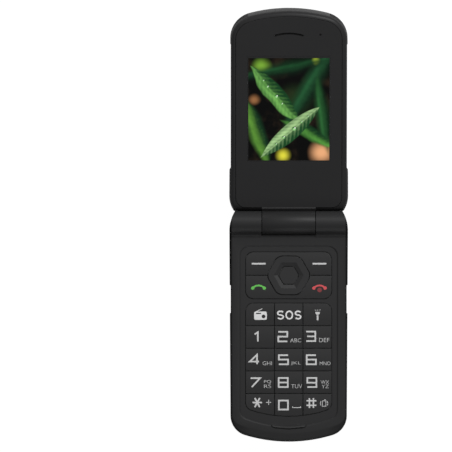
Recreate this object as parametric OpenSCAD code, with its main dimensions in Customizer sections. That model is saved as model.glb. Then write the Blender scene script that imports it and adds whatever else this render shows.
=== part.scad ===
// Rugged folding phone: a keypad base and a screen lid joined by a barrel hinge.
// Millimetres. The base lies on its back: +Z points out of the keys, +Y runs from the keys to
// the hinge and +X is the reader's right. The origin is the middle of the flat back.
// Distances down the keypad are measured from the hinge axis. The lid is drawn flat, with +Y
// running from the hinge axis to its tip and its face upwards, and is then raised by lid_rise.

/* [Case] */
// Width of the base across its side bumpers
base_w = 59.2; // [58:0.2:64]
// Length of the shut phone, from the hinge barrel to the bottom edge
base_len = 115.2; // [112:0.2:122]
// Thickness of the base
base_t = 12.4; // [12:0.1:14]
// Height of the seam between the two base shells
seam_z = 7.4; // [7.2:0.1:8]
// Wall thickness of all shells
wall = 1.6; // [1.2:0.1:2]
// Thickness of the rubber moulded over the corners
skin = 1.0; // [0.7:0.1:1.3]
// Radius of the far corners
corner_r = 10.2; // [9:0.2:12]
// Radius of the bowed ends
end_arc_r = 75; // [65:1:90]
// Clearance between parts that stay together
fit = 0.15; // [0.1:0.01:0.2]

/* [Lid] */
// How much narrower the lid's tip is than the base
tip_narrowing = 0.8; // [0.4:0.1:1.4]
// How much wider the lid's ears beside the hinge are than the base
ear_extra = 0.1; // [0.1:0.05:0.3]
// Reach of the shut lid beyond the bottom edge of the base
lid_reach = 0.55; // [0.3:0.05:1]
// Thickness of the lid
lid_t = 10.4; // [10:0.1:12]
// Thickness of the lid's front frame
frame_t = 4.2; // [4:0.1:4.8]
// Gap between base and lid when shut
shut_gap = 0.4; // [0.35:0.05:0.8]
// Rise of the opened lid above the plane of the base
lid_rise = 17; // [10:1:25]

/* [Hinge] */
// Radius of the hinge barrel
barrel_r = 5.75; // [5.5:0.05:6]
// Width of the middle knuckle, which belongs to the lid
knuckle_w = 26.6; // [22:0.2:30]
// Gap beside the middle knuckle
knuckle_gap = 0.3; // [0.2:0.05:0.4]
// Clearance around a barrel that turns
barrel_clear = 0.3; // [0.3:0.05:0.4]
// Radius of the sprung cartridge
cartridge_r = 3.6; // [3.2:0.05:3.8]
// Length of the sprung cartridge
cartridge_len = 9.6; // [8:0.1:10]
// Radius of the cartridge's shaft
shaft_r = 1.6; // [1.4:0.05:1.8]
// Radius of the hollow pin on the other side
pin_r = 2.0; // [1.8:0.05:2.2]
// Length of the pin inside each knuckle
pin_len = 7; // [5:0.5:8]
// Running clearance of shaft and pin
run_fit = 0.05; // [0.02:0.01:0.08]

/* [Screen] */
// Border of the face panel beside the screen window
window_side = 5.8; // [5:0.1:8]
// Distance from the hinge axis to the window
window_from_hinge = 31.9; // [30:0.1:36]
// Distance from the window to the lid's tip
window_to_tip = 23.5; // [22:0.1:28]
// Border of the front frame beside the glossy face panel
panel_border = 2.8; // [2.5:0.1:3.2]
// Distance from the hinge axis to the face panel
panel_from_hinge = 7.8; // [7:0.1:9]
// Thickness of the face panel
panel_t = 1.0; // [0.8:0.05:1.2]
// Radius of the arched earpiece slot
ear_slot_r = 20.3; // [18:0.1:24]
// Half width of the earpiece slot
ear_slot_half = 7.4; // [6:0.1:8]
// Distance from the crown of the slot to the lid's tip
ear_slot_to_tip = 10.8; // [10:0.1:13]

/* [Keypad] */
// Distance from the side of the base to the two blocks of keys
pad_margin = 8.1; // [8:0.1:9.5]
// Corner radius of the blocks
pad_corner = 4; // [3:0.1:5]
// Distance from the hinge axis to the upper block
upper_from_hinge = 14.7; // [14:0.1:16]
// Height of the upper block down the keypad
upper_len = 23.4; // [22.8:0.1:23.6]
// Space between the two blocks
block_gap = 2.2; // [2:0.1:3]
// Distance from the lower block to the bottom edge of the base
pad_end = 12.55; // [12:0.05:16]
// Width of the middle column of keys
column_w = 14.2; // [13:0.1:15]
// Gap between neighbouring keys
key_gap = 0.35; // [0.3:0.01:0.5]
// Thickness of a key cap
key_t = 1.5; // [1.4:0.05:1.6]
// Depth of the shallow dish that holds the keys
dish_depth = 0.8; // [0.6:0.05:0.9]
// Travel of a key
key_travel = 0.3; // [0.2:0.01:0.34]
// Width of the navigation ring across its flats
ring_flats = 19.9; // [19:0.1:20.2]
// Width of the centre key across its flats
ok_flats = 9.3; // [8.5:0.1:10]

/* [Back] */
// Thickness of the battery cover
cover_t = 1.2; // [1.1:0.05:1.4]
// Depth of the panels sunk into the battery cover
field_depth = 0.45; // [0.3:0.05:0.5]
// Distance from the hinge axis to the torch
torch_from_hinge = 13.6; // [13:0.1:15]
// Radius of the torch lens
torch_r = 2.65; // [2.2:0.05:3]
// Distance from the bottom edge to the charging contacts
contacts_end = 11.45; // [9.5:0.05:12.5]
// Spacing of the charging contacts
contacts_pitch = 5.4; // [5:0.1:7]
// Radius of a charging contact
contact_r = 1.7; // [1.4:0.05:2]
// Distance from the side of the base to the battery
battery_margin = 12; // [12:0.1:13]
// Distance from the battery to the bottom edge of the base
battery_end = 18.15; // [17.8:0.05:21]
// Battery thickness
battery_t = 4.4; // [4:0.1:4.5]
// Distance from the hinge axis to the battery
battery_from_hinge = 50.3; // [50:0.1:51]

/* [Hidden] */
$fn = 48;
slice = 0.01;
cut = 60;

case_colour = [0.18, 0.18, 0.18];
panel_colour = [0.13, 0.13, 0.13];
rubber_colour = [0.14, 0.14, 0.145];
key_colour = [0.2, 0.2, 0.2];
metal_colour = [0.6, 0.6, 0.62];
gold_colour = [0.85, 0.68, 0.4];
orange_colour = [0.9, 0.55, 0.2];

// Sizes that follow the case
half_w = base_w / 2;
base_end = base_len - barrel_r;
lid_w = base_w - tip_narrowing;
ear_w = base_w + ear_extra;
lid_len = base_end + lid_reach;
panel_half_w = lid_w / 2 - panel_border;
window_w = 2 * (panel_half_w - window_side);
window_len = lid_len - window_from_hinge - window_to_tip;
ear_slot_from_hinge = lid_len - ear_slot_to_tip;
pad_half_w = half_w - pad_margin;
contacts_from_hinge = base_end - contacts_end;
battery_w = 2 * (half_w - battery_margin);
battery_len = base_end - battery_end - battery_from_hinge;

// Heights in the base
axis_z = base_t + shut_gap / 2;
rest_margin = 1.25;
hinge_y = (base_end - rest_margin) / 2;
bumper_z = 0.5;
pocket_z = cover_t + 0.1;
deck_z = seam_z - 0.6;
dish_z = base_t - dish_depth;
plate_z = dish_z - 1;
key_z = base_t - 0.15 - key_t;
membrane_t = 0.5;
membrane_z = key_z - key_travel - 0.05 - membrane_t;
board_t = 0.8;
board_z = deck_z + 1.1;
dome_t = 0.15;
cavity_from_hinge = 7.8;

// Side channels for the volume key and the socket flap
channel_depth = 5.2;
channel_x = half_w - channel_depth;
channel_from = 31.1;
channel_to = 45.5;
channel_slant = 3.2;
notch_depth = 0.65;
channel_floor = half_w - notch_depth;
side_key_t = 2.4;
side_key_len = 12;
side_key_z = 2.3;

// Depths in the lid, measured from the hinge axis plane
face_w = -shut_gap / 2;
frame_w = face_w - frame_t;
back_w = face_w - lid_t;
lid_floor = 1.4;
lid_overlap = 1.2;
panel_seat = panel_t + 0.1;
lcd_w = window_w + 3.8;
lcd_len = window_len + 5;
lcd_t = 2.4;
lcd_mid = window_from_hinge + window_len / 2;

// Edge roundings: [height, inset] pairs from back to front
function front_edge() = [[seam_z, 0], [base_t - 1.5, 0], [base_t - 0.7, 0.3], [base_t - 0.2, 0.85], [base_t, 1.4]];
function rear_edge(z0) = [[z0, 3.2], [z0 + 0.5, 1.9], [z0 + 1.8, 0.7], [z0 + 3.6, 0], [seam_z, 0]];
function lid_edge(depth) = [[back_w + 0.6 * depth, 3.2], [back_w + 0.4 + 0.6 * depth, 1.9], [back_w + 1.5, 0.6],
    [back_w + 3, 0], [face_w - 2.4, 0], [face_w - 1.2 - 0.3 * depth, 0.6], [face_w - 0.3 * depth, 2.4]];

// Points on a circular arc, from step number first on
function arc_points(x, y, r, from, to, steps = 6, first = 0) =
    [for (i = [first:steps]) let (a = from + (to - from) * i / steps) [x + r * cos(a), y + r * sin(a)]];
// A half outline that ends on the middle line, closed by its own mirror image
function both_sides(half) = concat(half, [for (i = [len(half) - 2:-1:0]) [-half[i][0], half[i][1]]]);
// Bowed end that points along -Y: corner arc, then the shallow end arc to the middle
function end_points(half_w, reach, corner, bow) = let (
        x = half_w - corner,
        y = -reach + bow - sqrt(pow(bow - corner, 2) - pow(x, 2)),
        turn = asin(x / (bow - corner)))
    concat(arc_points(x, y, corner, 0, turn - 90, 8), arc_points(0, bow - reach, bow, turn - 90, -90, 5, 1));
// Outline of a case half: shoulder arc cut by the line y = top, side, corner and bowed end
function case_points(half_w, end_half_w, reach, top, shoulder_r, shoulder_y, inset) = both_sides(concat(
    arc_points(half_w - shoulder_r, shoulder_y, shoulder_r - inset,
        asin(min(1, (top - inset - shoulder_y) / (shoulder_r - inset))), 0),
    end_points(end_half_w - inset, reach - inset, corner_r - inset, end_arc_r - inset)));

// Solid through a stack of outlines that have the same number of points: [height, outline] pairs
module lofted(rings) {
    n = len(rings[0][1]);
    last = len(rings) - 1;
    points = [for (ring = rings, p = ring[1]) [p[0], p[1], ring[0]]];
    walls = [for (k = [0:last - 1], i = [0:n - 1], upper = [0, 1]) let (
            a = k * n + i, b = k * n + (i + 1) % n)
        upper == 1 ? [a, b + n, a + n] : [a, b, b + n]];
    polyhedron(points, concat([[for (i = [n - 1:-1:0]) i]], walls, [[for (i = [0:n - 1]) last * n + i]]));
}

shoulder_r = 19;
shoulder_y = -4;
rear_shoulder_r = 10;
rear_shoulder_y = -9;
ear_r = 14;
ear_y = 13;
end_narrowing = 0.55;

function base_points(inset = 0, top = 0) = case_points(half_w, half_w - end_narrowing, base_end, top,
    shoulder_r, shoulder_y, inset);
function rear_points(inset = 0) = case_points(half_w, half_w - end_narrowing, base_end, 0.2,
    rear_shoulder_r, rear_shoulder_y, inset);
function lid_points(inset = 0) = case_points(ear_w / 2, lid_w / 2, lid_len, lid_overlap, ear_r, -ear_y, inset);

module base_plan(inset = 0, top = 0) translate([0, hinge_y]) polygon(base_points(inset, top));
module lid_plan(inset = 0) mirror([0, 1]) polygon(lid_points(inset));

// Rounded solid of the front half of the base, with the outline that also ends the knuckles
module front_slab() translate([0, hinge_y, 0])
    lofted([for (p = front_edge()) [p[0], base_points(p[1])]]);
// Rounded solid of the back half, smaller by depth where rubber covers it
module rear_slab(depth) translate([0, hinge_y, 0])
    lofted([for (p = rear_edge(bumper_z + 0.8 * depth)) [p[0], rear_points(p[1] + depth)]]);
module lid_slab(depth) mirror([0, 1, 0])
    lofted([for (p = lid_edge(depth)) [p[0], lid_points(p[1] + depth)]]);

// Turning barrel shape about the hinge axis, from one x to another
module barrel(r, from, to)
    translate([from, hinge_y, axis_z]) rotate([0, 90, 0]) cylinder(r = r, h = to - from);
module lid_barrel(r, from, to) translate([from, 0, 0]) rotate([0, 90, 0]) cylinder(r = r, h = to - from);

module raise_lid() translate([0, hinge_y, axis_z]) rotate([lid_rise, 0, 0]) children();

// A distance down from the hinge axis
module down(d) translate([0, hinge_y - d, 0]) children();
// A box centred in x, from one distance below the hinge to another
module band(half_w, from, to, z0, z1)
    translate([-half_w, hinge_y - to, z0]) cube([2 * half_w, to - from, z1 - z0]);
// The same in the lid, where distances run up from the hinge
module lid_band(half_w, from, to, w0, w1)
    translate([-half_w, from, w0]) cube([2 * half_w, to - from, w1 - w0]);

module mirrored() { children(); mirror([1, 0, 0]) children(); }

// Outline with rounded corners, made of circles and squares
module rounded_rect(half_w, y0, y1, r) {
    translate([-half_w, y0 + r]) square([2 * half_w, y1 - y0 - 2 * r]);
    translate([-half_w + r, y0]) square([2 * (half_w - r), y1 - y0]);
    for (x = [-half_w + r, half_w - r], y = [y0 + r, y1 - r]) translate([x, y]) circle(r);
}

// Side channel, slanted at both ends, on the +X side
module channel_plan(grow = 0) down(0) polygon([
    [channel_x - grow, -channel_from + channel_slant + grow], [base_w, -channel_from - grow / 2],
    [base_w, -channel_to + grow / 2], [channel_x - grow, -channel_to - channel_slant - grow]]);

// ---- keypad layout ----
upper_to = upper_from_hinge + upper_len;
nav_at = upper_from_hinge + upper_len / 2;
lower_from = upper_to + block_gap;
rows = 5;
lower_to = base_end - pad_end;
row_pitch = (lower_to - lower_from) / rows;
lower_bow = 60;
ring_r = ring_flats / 2 / cos(30);
ring_round = ring_flats / 2 + 0.7;
ok_r = ok_flats / 2 / cos(30);
ok_round = ok_r * 0.955;
stem_r = 1.2;

module upper_block(grow = 0)
    down(0) rounded_rect(pad_half_w + grow, -upper_to - grow, -upper_from_hinge + grow, pad_corner + grow);
// The lower block ends in a bow that follows the case
module lower_block(grow = 0) down(0) intersection() {
    rounded_rect(pad_half_w + grow, -lower_to - grow, -lower_from + grow, pad_corner + grow);
    translate([0, lower_bow - lower_to - grow]) circle(lower_bow + grow, $fn = 180);
}
module hexagon(r, round_r, grow = 0) intersection() {
    circle(r + grow / cos(30), $fn = 6);
    circle(round_r + grow, $fn = 72);
}

KEYS = ["radio_key", "sos_key", "torch_key", "key_1", "key_2", "key_3", "key_4", "key_5", "key_6",
    "key_7", "key_8", "key_9", "star_key", "key_0", "hash_key"];
function column_edge(c) = c == 0 ? -pad_half_w : c == 3 ? pad_half_w : (c - 1.5) * column_w;
function key_x(i) = (column_edge(i % 3) + column_edge(i % 3 + 1)) / 2;
function key_down(i) = lower_from + (floor(i / 3) + 0.5) * row_pitch;
// Places pressed by the keys of the upper block: [x, distance from the hinge]
press_side = pad_half_w - 6.3;
press_corner = 6.4;
press_ring = 7.5;
upper_presses = concat([for (x = [-press_side, press_side], d = [-press_corner, press_corner]) [x, nav_at + d]],
    [[0, nav_at], [0, nav_at - press_ring], [0, nav_at + press_ring], [-press_ring, nav_at], [press_ring, nav_at]]);
presses = concat(upper_presses, [for (i = [0:14]) [key_x(i), key_down(i)]]);

// ---- base shells ----
screw_x = half_w - 9;
screw_downs = [channel_from - 5.1, channel_to + 10.5, base_end - 25.45];
screw_r = 0.8;
screw_head_r = 1.5;
screw_head_t = 0.9;
lug_top = board_z + board_t - 0.1;
bush_r = cartridge_r;

module screw_places() for (d = screw_downs) mirrored() translate([screw_x, hinge_y - d, 0]) children();

module outer_knuckles() intersection() {
    mirrored() barrel(barrel_r, knuckle_w / 2 + knuckle_gap, half_w);
    linear_extrude(cut) base_plan(0.08, barrel_r + 1);
}

module base_cavity(z0, z1) translate([0, 0, z0]) linear_extrude(z1 - z0) difference() {
    intersection() {
        base_plan(skin + wall);
        translate([-cut, hinge_y - cut * 4 - cavity_from_hinge]) square([2 * cut, 4 * cut]);
    }
    mirrored() translate([channel_x - wall, hinge_y - channel_to - channel_slant - wall])
        square([10, channel_to - channel_from + 2 * (channel_slant + wall)]);
}

// Shallow notch in each side of the front shell
module side_notch() mirrored() translate([0, 0, -slice]) linear_extrude(cut) down(0) polygon([
    [channel_floor, -channel_from - 0.3], [base_w, -channel_from + 2], [base_w, -channel_to - 2],
    [channel_floor, -channel_to + 0.3]]);

lanyard_x = 3.6 - half_w;
lanyard_up = 1.1;
lanyard_r = 1;
lanyard_slot = 1.3;
lanyard_z = 9.6;
module lanyard_hole() {
    for (dy = [-0.5, 0.5]) translate([lanyard_x, hinge_y + lanyard_up + dy * lanyard_slot, 0])
        cylinder(r = lanyard_r, h = lanyard_z + lanyard_r);
    translate([lanyard_x - lanyard_r, hinge_y + lanyard_up - lanyard_slot / 2, 0])
        cube([2 * lanyard_r, lanyard_slot, lanyard_z + lanyard_r]);
    translate([-cut, hinge_y + lanyard_up, lanyard_z]) rotate([0, 90, 0]) cylinder(r = lanyard_r, h = cut + lanyard_x);
}

// Thumb dip below the keys, for opening the lid
dip_from = base_end - 8.7;
dip_to = dip_from + 2.85;
dip_half = 8.4;
module thumb_dip() translate([0, 0, base_t - 0.5]) linear_extrude(cut) down(0) intersection() {
    polygon(both_sides([[0, -dip_to - 1], [dip_half - 0.5, -dip_to - 1], [dip_half + 0.5, -dip_from + 0.6],
        [0, -dip_from + 0.6]]));
    translate([0, lower_bow - dip_to]) circle(lower_bow, $fn = 180);
    translate([0, -dip_from - lower_bow]) circle(lower_bow, $fn = 180);
}

dish_half = half_w - 5.1;
dish_end = lower_to + 5;
lug_half = 2.6;
module base_front_housing() color(case_colour) difference() {
    union() {
        difference() {
            front_slab();
            base_cavity(0, plate_z);
        }
        outer_knuckles();
        intersection() {
            base_cavity(seam_z, lug_top);
            screw_places() translate([-3, -lug_half, 0]) cube([cut, 2 * lug_half, cut]);
        }
    }
    barrel(barrel_r + barrel_clear, -knuckle_w / 2 - knuckle_gap, knuckle_w / 2 + knuckle_gap);
    barrel(cartridge_r + run_fit / 2, -knuckle_w / 2 - knuckle_gap - cartridge_len - fit, 0);
    barrel(bush_r + run_fit / 2, 0, knuckle_w / 2 + knuckle_gap + pin_len + 1 + fit);
    translate([0, 0, dish_z]) linear_extrude(cut) down(0) intersection() {
        rounded_rect(dish_half, -dish_end, -upper_from_hinge + 3.1, 5);
        translate([0, lower_bow - dish_end]) circle(lower_bow, $fn = 180);
    }
    translate([0, 0, seam_z]) linear_extrude(cut) upper_block(fit);
    translate([0, 0, seam_z]) linear_extrude(cut) lower_block(fit);
    thumb_dip();
    side_notch();
    screw_places() cylinder(r = screw_r + 0.02, h = lug_top - 0.4);
    lanyard_hole();
}

// Outline of the battery cover: it runs from under the hinge down to the bottom edge
// Points as [distance from the side, distance from the hinge axis or from the bottom edge]
cover_upper = [[9.6, 0], [6.9, 30], [6.5, 48]];
cover_lower = [[6.7, 30.45], [8.2, 20.95], [11.2, 16.85], [14, 15.05], [12.3, 0.25], [half_w, 0.25]];
cover_half = concat([[0, 0]], [for (p = cover_upper) [half_w - p[0], -p[1]]],
    [for (p = cover_lower) [half_w - p[0], p[1] - base_end]]);
module cover_plan(grow = 0) down(0) offset(delta = grow) intersection() {
    polygon(both_sides(cover_half));
    translate([0, end_arc_r - base_end]) circle(end_arc_r - rest_margin, $fn = 360);
}

// Island beside the torch that holds the camera and the alarm key, drawn as seen from behind.
// Points as [distance from the side, distance from the hinge axis]
function side_points(points) = [for (p = points) [p[0] - half_w, -p[1]]];
island = side_points([[11.3, 3.1], [23, 3.1], [23, 18.9], [13.7, 25.4], [10.3, 23.7]]);
lens_pane = side_points([[12.2, 4.8], [21.9, 4.8], [21.4, 12.6], [11.7, 15.9]]);
alarm_outline = side_points([[11.2, 17], [21.3, 13.7], [20.9, 19.2], [12.3, 24.7], [10.6, 23.3]]);
module from_behind() mirror([1, 0, 0]) down(0) children();
module soft_polygon(points, r, grow = 0) offset(r = r) offset(delta = grow - r) polygon(points);

camera_at = [17.2 - half_w, 8.7];
camera_size = 8;
module camera_place() translate([-camera_at[0], hinge_y - camera_at[1], 0]) children();

socket_w = 9;
socket_t = 3.2;
socket_len = 7.2;
socket_z = side_key_z + 1.1;
module socket_place() translate([channel_x - 0.1 - socket_len, hinge_y - (channel_from + channel_to) / 2, socket_z]) children();

seal_w = 0.8;
bay_half = battery_w / 2 + fit;
module seal_ring(grow) linear_extrude(cut) difference() {
    down(0) rounded_rect(bay_half + 0.3 + seal_w + grow, -battery_from_hinge - battery_len - 0.5 - seal_w - grow,
        -battery_from_hinge + 0.5 + seal_w + grow, 1.5);
    down(0) rounded_rect(bay_half + 0.3 - grow, -battery_from_hinge - battery_len - 0.5 + grow,
        -battery_from_hinge + 0.5 - grow, 0.8);
}

// Fingernail notch between the cover and the housing
nail_r = 2.2;
nail_w = 6.2;

// Hard inner shape of the back: thinner where rubber covers it, full size under the hinge
module rear_core() {
    rear_slab(skin);
    intersection() {
        rear_slab(0);
        band(cover_half[1][0], -1, 4, 0, seam_z);
    }
}
module base_rear_housing() color(case_colour) difference() {
    rear_core();
    barrel(barrel_r + barrel_clear, -base_w, base_w);
    base_cavity(deck_z, cut);
    translate([0, 0, -cut]) linear_extrude(cut + pocket_z) cover_plan(fit);
    band(bay_half, battery_from_hinge - fit, battery_from_hinge + battery_len + fit, -1, pocket_z + 0.2 + battery_t);
    translate([0, 0, pocket_z]) intersection() {
        translate([0, 0, -1]) seal_ring(0.1);
        cube([cut * 2, cut * 4, 1.1], center = true);
    }
    mirrored() translate([0, 0, -slice]) linear_extrude(cut) channel_plan();
    camera_place() translate([-camera_size / 2 - fit, -camera_size / 2 - fit, pocket_z + 0.6])
        cube([camera_size + 2 * fit, camera_size + 2 * fit, cut]);
    camera_place() cylinder(r = 2.75, h = cut);
    translate([0, 0, 0]) linear_extrude(pocket_z + 2.3) from_behind() soft_polygon(alarm_outline, 0.7, 0.3);
    down(torch_from_hinge) cylinder(r = torch_r + 0.1, h = 1.9);
    down(torch_from_hinge) translate([-1.9, -1.9, 0]) cube([3.8, 3.8, 3.1]);
    for (x = [-0.5, 0.5]) translate([x * contacts_pitch, hinge_y - contacts_from_hinge, 0])
        cylinder(r = contact_r + 0.02, h = cut);
    screw_places() translate([0, 0, 0]) cylinder(r = screw_head_r + 0.2, h = pocket_z + screw_head_t + 0.1);
    screw_places() cylinder(r = screw_r + 0.1, h = cut);
    socket_place() translate([-fit, -socket_w / 2 - fit, -fit]) cube([cut, socket_w + 2 * fit, cut]);
    translate([0, hinge_y + 1, 0]) rotate([0, 90, 0]) cylinder(r = nail_r + 0.2, h = nail_w + 1.8, center = true);
    lanyard_hole();
}

// Rubber over the back corners: the difference between the full and the inner shape
module rubber(from, to) difference() {
    intersection() {
        rear_slab(0);
        translate([0, 0, 0]) linear_extrude(seam_z - 0.05) intersection() {
            base_plan(-1, 0.2);
            translate([-cut, hinge_y - to]) square([2 * cut, to - from]);
        }
    }
    rear_core();
    barrel(barrel_r + barrel_clear, -base_w, base_w);
    translate([0, 0, -cut]) linear_extrude(cut + pocket_z) cover_plan(fit);
    mirrored() translate([0, 0, -slice]) linear_extrude(cut) channel_plan();
}
module upper_bumpers() color(rubber_colour) rubber(-5, channel_from + 3);
// The lower rubber wraps both sides and the bottom, with slanted grooves across its corners
module lower_bumper() color(rubber_colour) difference() {
    rubber(channel_to - 5, base_end + 1);
    mirrored() translate([half_w - 9, hinge_y - base_end + 16.75, -1]) rotate([0, 0, -47])
        translate([-1, -0.2, 0]) cube([12, 0.4, 1.8]);
}

// ---- parts inside the base ----
board_half = half_w - 7.2;
board_from = 10;
board_to = base_end - 14.95;
module lug_room(grow) screw_places() translate([-3 - grow, -lug_half - grow, 0]) cube([cut, 2 * (lug_half + grow), cut]);
module main_board() color([0.1, 0.3, 0.2]) difference() {
    band(board_half, board_from, board_to, board_z, board_z + board_t);
    lug_room(0.2);
}
// Cans as [distance from the board's side, start and end as shares of the board's length]
cans = [[6.4, 0.21, 0.45], [5.4, 0.5, 0.79], [10.4, 0.83, 0.98]];
module shield_cans() color(metal_colour) for (c = cans) let (board_len = board_to - board_from)
    band(board_half - c[0], board_from + c[1] * board_len, board_from + c[2] * board_len, deck_z + fit, board_z);
module dome_sheet() color([0.75, 0.75, 0.72]) {
    difference() {
        band(board_half - 1, board_from + 3, board_to - 1, board_z + board_t, board_z + board_t + dome_t);
        lug_room(0.4);
    }
    for (p = presses) translate([p[0], hinge_y - p[1], board_z + board_t + dome_t])
        cylinder(r1 = 2.1, r2 = stem_r, h = 0.2);
}
module keypad_membrane() color([0.35, 0.35, 0.35]) {
    band(board_half, upper_from_hinge - 1.5, lower_to + 1.4, membrane_z, membrane_z + membrane_t);
    for (p = presses) translate([p[0], hinge_y - p[1], board_z + board_t + dome_t + 0.35])
        cylinder(r = stem_r, h = membrane_z - board_z - board_t - dome_t - 0.25);
}
module battery() color([0.3, 0.32, 0.36])
    translate([0, 0, pocket_z + 0.15]) linear_extrude(battery_t) down(0) rounded_rect(battery_w / 2,
        -battery_from_hinge - battery_len, -battery_from_hinge, 1.2);
module camera_module() color([0.08, 0.08, 0.09]) camera_place() {
    translate([-camera_size / 2, -camera_size / 2, pocket_z + 0.65]) cube([camera_size, camera_size, 4]);
    translate([0, 0, pocket_z + 0.1]) difference() {
        cylinder(r = 2.6, h = 0.6);
        cylinder(r1 = 1.9, r2 = 1.1, h = 0.4);
    }
}
module camera_bezel() color(panel_colour) difference() {
    translate([0, 0, 0.15]) linear_extrude(pocket_z - 0.2) from_behind() soft_polygon(island, 1.2, -0.3);
    translate([0, 0, -1]) linear_extrude(cut) from_behind() soft_polygon(lens_pane, 0.6);
    translate([0, 0, -1]) linear_extrude(cut) from_behind() soft_polygon(alarm_outline, 0.7, 0.3);
}
module camera_window() color([0.3, 0.31, 0.32])
    translate([0, 0, 0.3]) linear_extrude(pocket_z - 0.4) from_behind() soft_polygon(lens_pane, 0.6, -0.05);
module torch_led() color([0.95, 0.9, 0.6]) down(torch_from_hinge) translate([-1.6, -1.6, 2.1]) cube([3.2, 3.2, 0.9]);
module torch_lens() color([0.85, 0.85, 0.7]) down(torch_from_hinge) translate([0, 0, 0.3]) difference() {
    cylinder(r = torch_r, h = 1.5);
    translate([0, 0, 1.2]) cylinder(r1 = 0.6, r2 = 1.6, h = 0.6);
}
module charging_contacts() color(gold_colour)
    for (x = [-0.5, 0.5]) translate([x * contacts_pitch, hinge_y - contacts_from_hinge, 0.1]) {
        cylinder(r1 = contact_r - 0.2, r2 = contact_r, h = 0.2);
        translate([0, 0, 0.2]) cylinder(r = contact_r, h = deck_z + 0.3);
    }
module usb_socket() color(metal_colour) socket_place() difference() {
    translate([0, -socket_w / 2, 0]) cube([socket_len, socket_w, socket_t]);
    translate([1, -socket_w / 2 + 0.3, 0.3]) cube([socket_len, socket_w - 0.6, socket_t - 0.6]);
}
motor_r = 4;
module vibration_motor() color(metal_colour) translate([14.6 - half_w, hinge_y - base_end + 9.85, deck_z + 0.05])
    cylinder(r = motor_r, h = 2.7);
module housing_screws() color(metal_colour) screw_places() {
    translate([0, 0, pocket_z + 0.05]) difference() {
        cylinder(r = screw_head_r, h = screw_head_t);
        translate([0, 0, -1]) cylinder(r = 0.7, h = 1.5, $fn = 6);
    }
    translate([0, 0, pocket_z + 0.05]) cylinder(r = screw_r, h = lug_top - 0.6 - pocket_z);
}

// ---- hinge ----
// Sprung cartridge: a closed can whose cam snaps the lid open and shut, with its shaft bored in
module hinge_cartridge() color(metal_colour) difference() {
    barrel(cartridge_r, -knuckle_w / 2 - knuckle_gap - cartridge_len, -knuckle_w / 2 - knuckle_gap);
    barrel(shaft_r + run_fit, -knuckle_w / 2 - knuckle_gap - cartridge_len + 1, 0);
}
module hinge_bush() color([0.75, 0.65, 0.4]) difference() {
    barrel(bush_r, knuckle_w / 2 + knuckle_gap, knuckle_w / 2 + knuckle_gap + pin_len + 1);
    barrel(pin_r + run_fit, 0, knuckle_w / 2 + knuckle_gap + pin_len + 0.4);
}
key_head_r = 2.9;
key_head_len = 4.5;
// Shaft with a six-sided head that locks into the lid's knuckle
module hinge_shaft() color(metal_colour) raise_lid() {
    lid_barrel(shaft_r, -knuckle_w / 2 - knuckle_gap - cartridge_len + 1.2, -knuckle_w / 2 + 0.5);
    translate([-knuckle_w / 2 + 0.1, 0, 0]) rotate([0, 90, 0]) cylinder(r = key_head_r, h = key_head_len, $fn = 6);
}
module hinge_pin() color(metal_colour) raise_lid() difference() {
    lid_barrel(pin_r, knuckle_w / 2 - pin_len, knuckle_w / 2 + knuckle_gap + pin_len);
    lid_barrel(pin_r - 0.8, knuckle_w / 2 - pin_len - 1, half_w);
}
flex_half = 5;
flex_r = 4;
flex_t = 0.2;
flex_w = 6;
flex_tail = 10;
flex_depth = 2.5;
// Ribbon rolled up inside the middle knuckle, with its tail into the lid
module hinge_flex() color([0.75, 0.45, 0.15]) raise_lid() {
    difference() {
        lid_barrel(flex_r, -flex_half, flex_half);
        lid_barrel(flex_r - 1.5 * flex_t, -flex_half - 1, flex_half + 1);
    }
    lid_band(flex_w / 2, flex_r - 1.5 * flex_t, flex_tail, -flex_depth - flex_t, -flex_depth);
}

// ---- lid ----
bumper_reach = 24;
module bumper_zone() mirrored() {
    translate([panel_half_w + 1.2, lid_overlap + 1, back_w + 1.2]) cube([10, bumper_reach, lid_t - 2.4]);
    translate([panel_half_w - 6, lid_len - 15, back_w + 1.2]) cube([16, 20, lid_t - 3.6]);
}
module lid_case() difference() {
    lid_slab(0);
    difference() { bumper_zone(); lid_slab(skin); }
    mirrored() translate([lid_w / 2 - 0.25, 0, back_w - 1]) linear_extrude(cut)
        polygon([[0, bumper_reach + 6], [3, bumper_reach + 2], [3, lid_len - 15], [0, lid_len - 18]]);
}
module lid_bumpers() color(rubber_colour) raise_lid() difference() {
    intersection() { lid_slab(0); bumper_zone(); }
    lid_slab(skin);
    lid_barrel(barrel_r + barrel_clear, -base_w, base_w);
}

panel_corner = corner_r - 2.6;
panel_reach = lid_len - 2.3;
module panel_plan(grow = 0) {
    mirror([0, 1]) polygon(both_sides(concat(
        arc_points(panel_half_w - 5, -panel_from_hinge - 5, 5 + grow, 90, 0),
        end_points(panel_half_w + grow, panel_reach + grow, panel_corner + grow, end_arc_r))));
}
module earpiece_arc(grow = 0) intersection() {
    translate([0, ear_slot_from_hinge - ear_slot_r]) difference() {
        circle(ear_slot_r + grow, $fn = 120);
        circle(ear_slot_r - 1 - grow, $fn = 120);
    }
    translate([-ear_slot_half - grow, ear_slot_from_hinge - 4]) square([2 * (ear_slot_half + grow), 6]);
}
lid_screw_spots = [[lid_w / 2 - 5.8, 15.5], [lid_w / 2 - 6.6, lid_len - 15]];
module lid_screw_places() for (s = lid_screw_spots) mirrored() translate([s[0], s[1], 0]) children();

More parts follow.
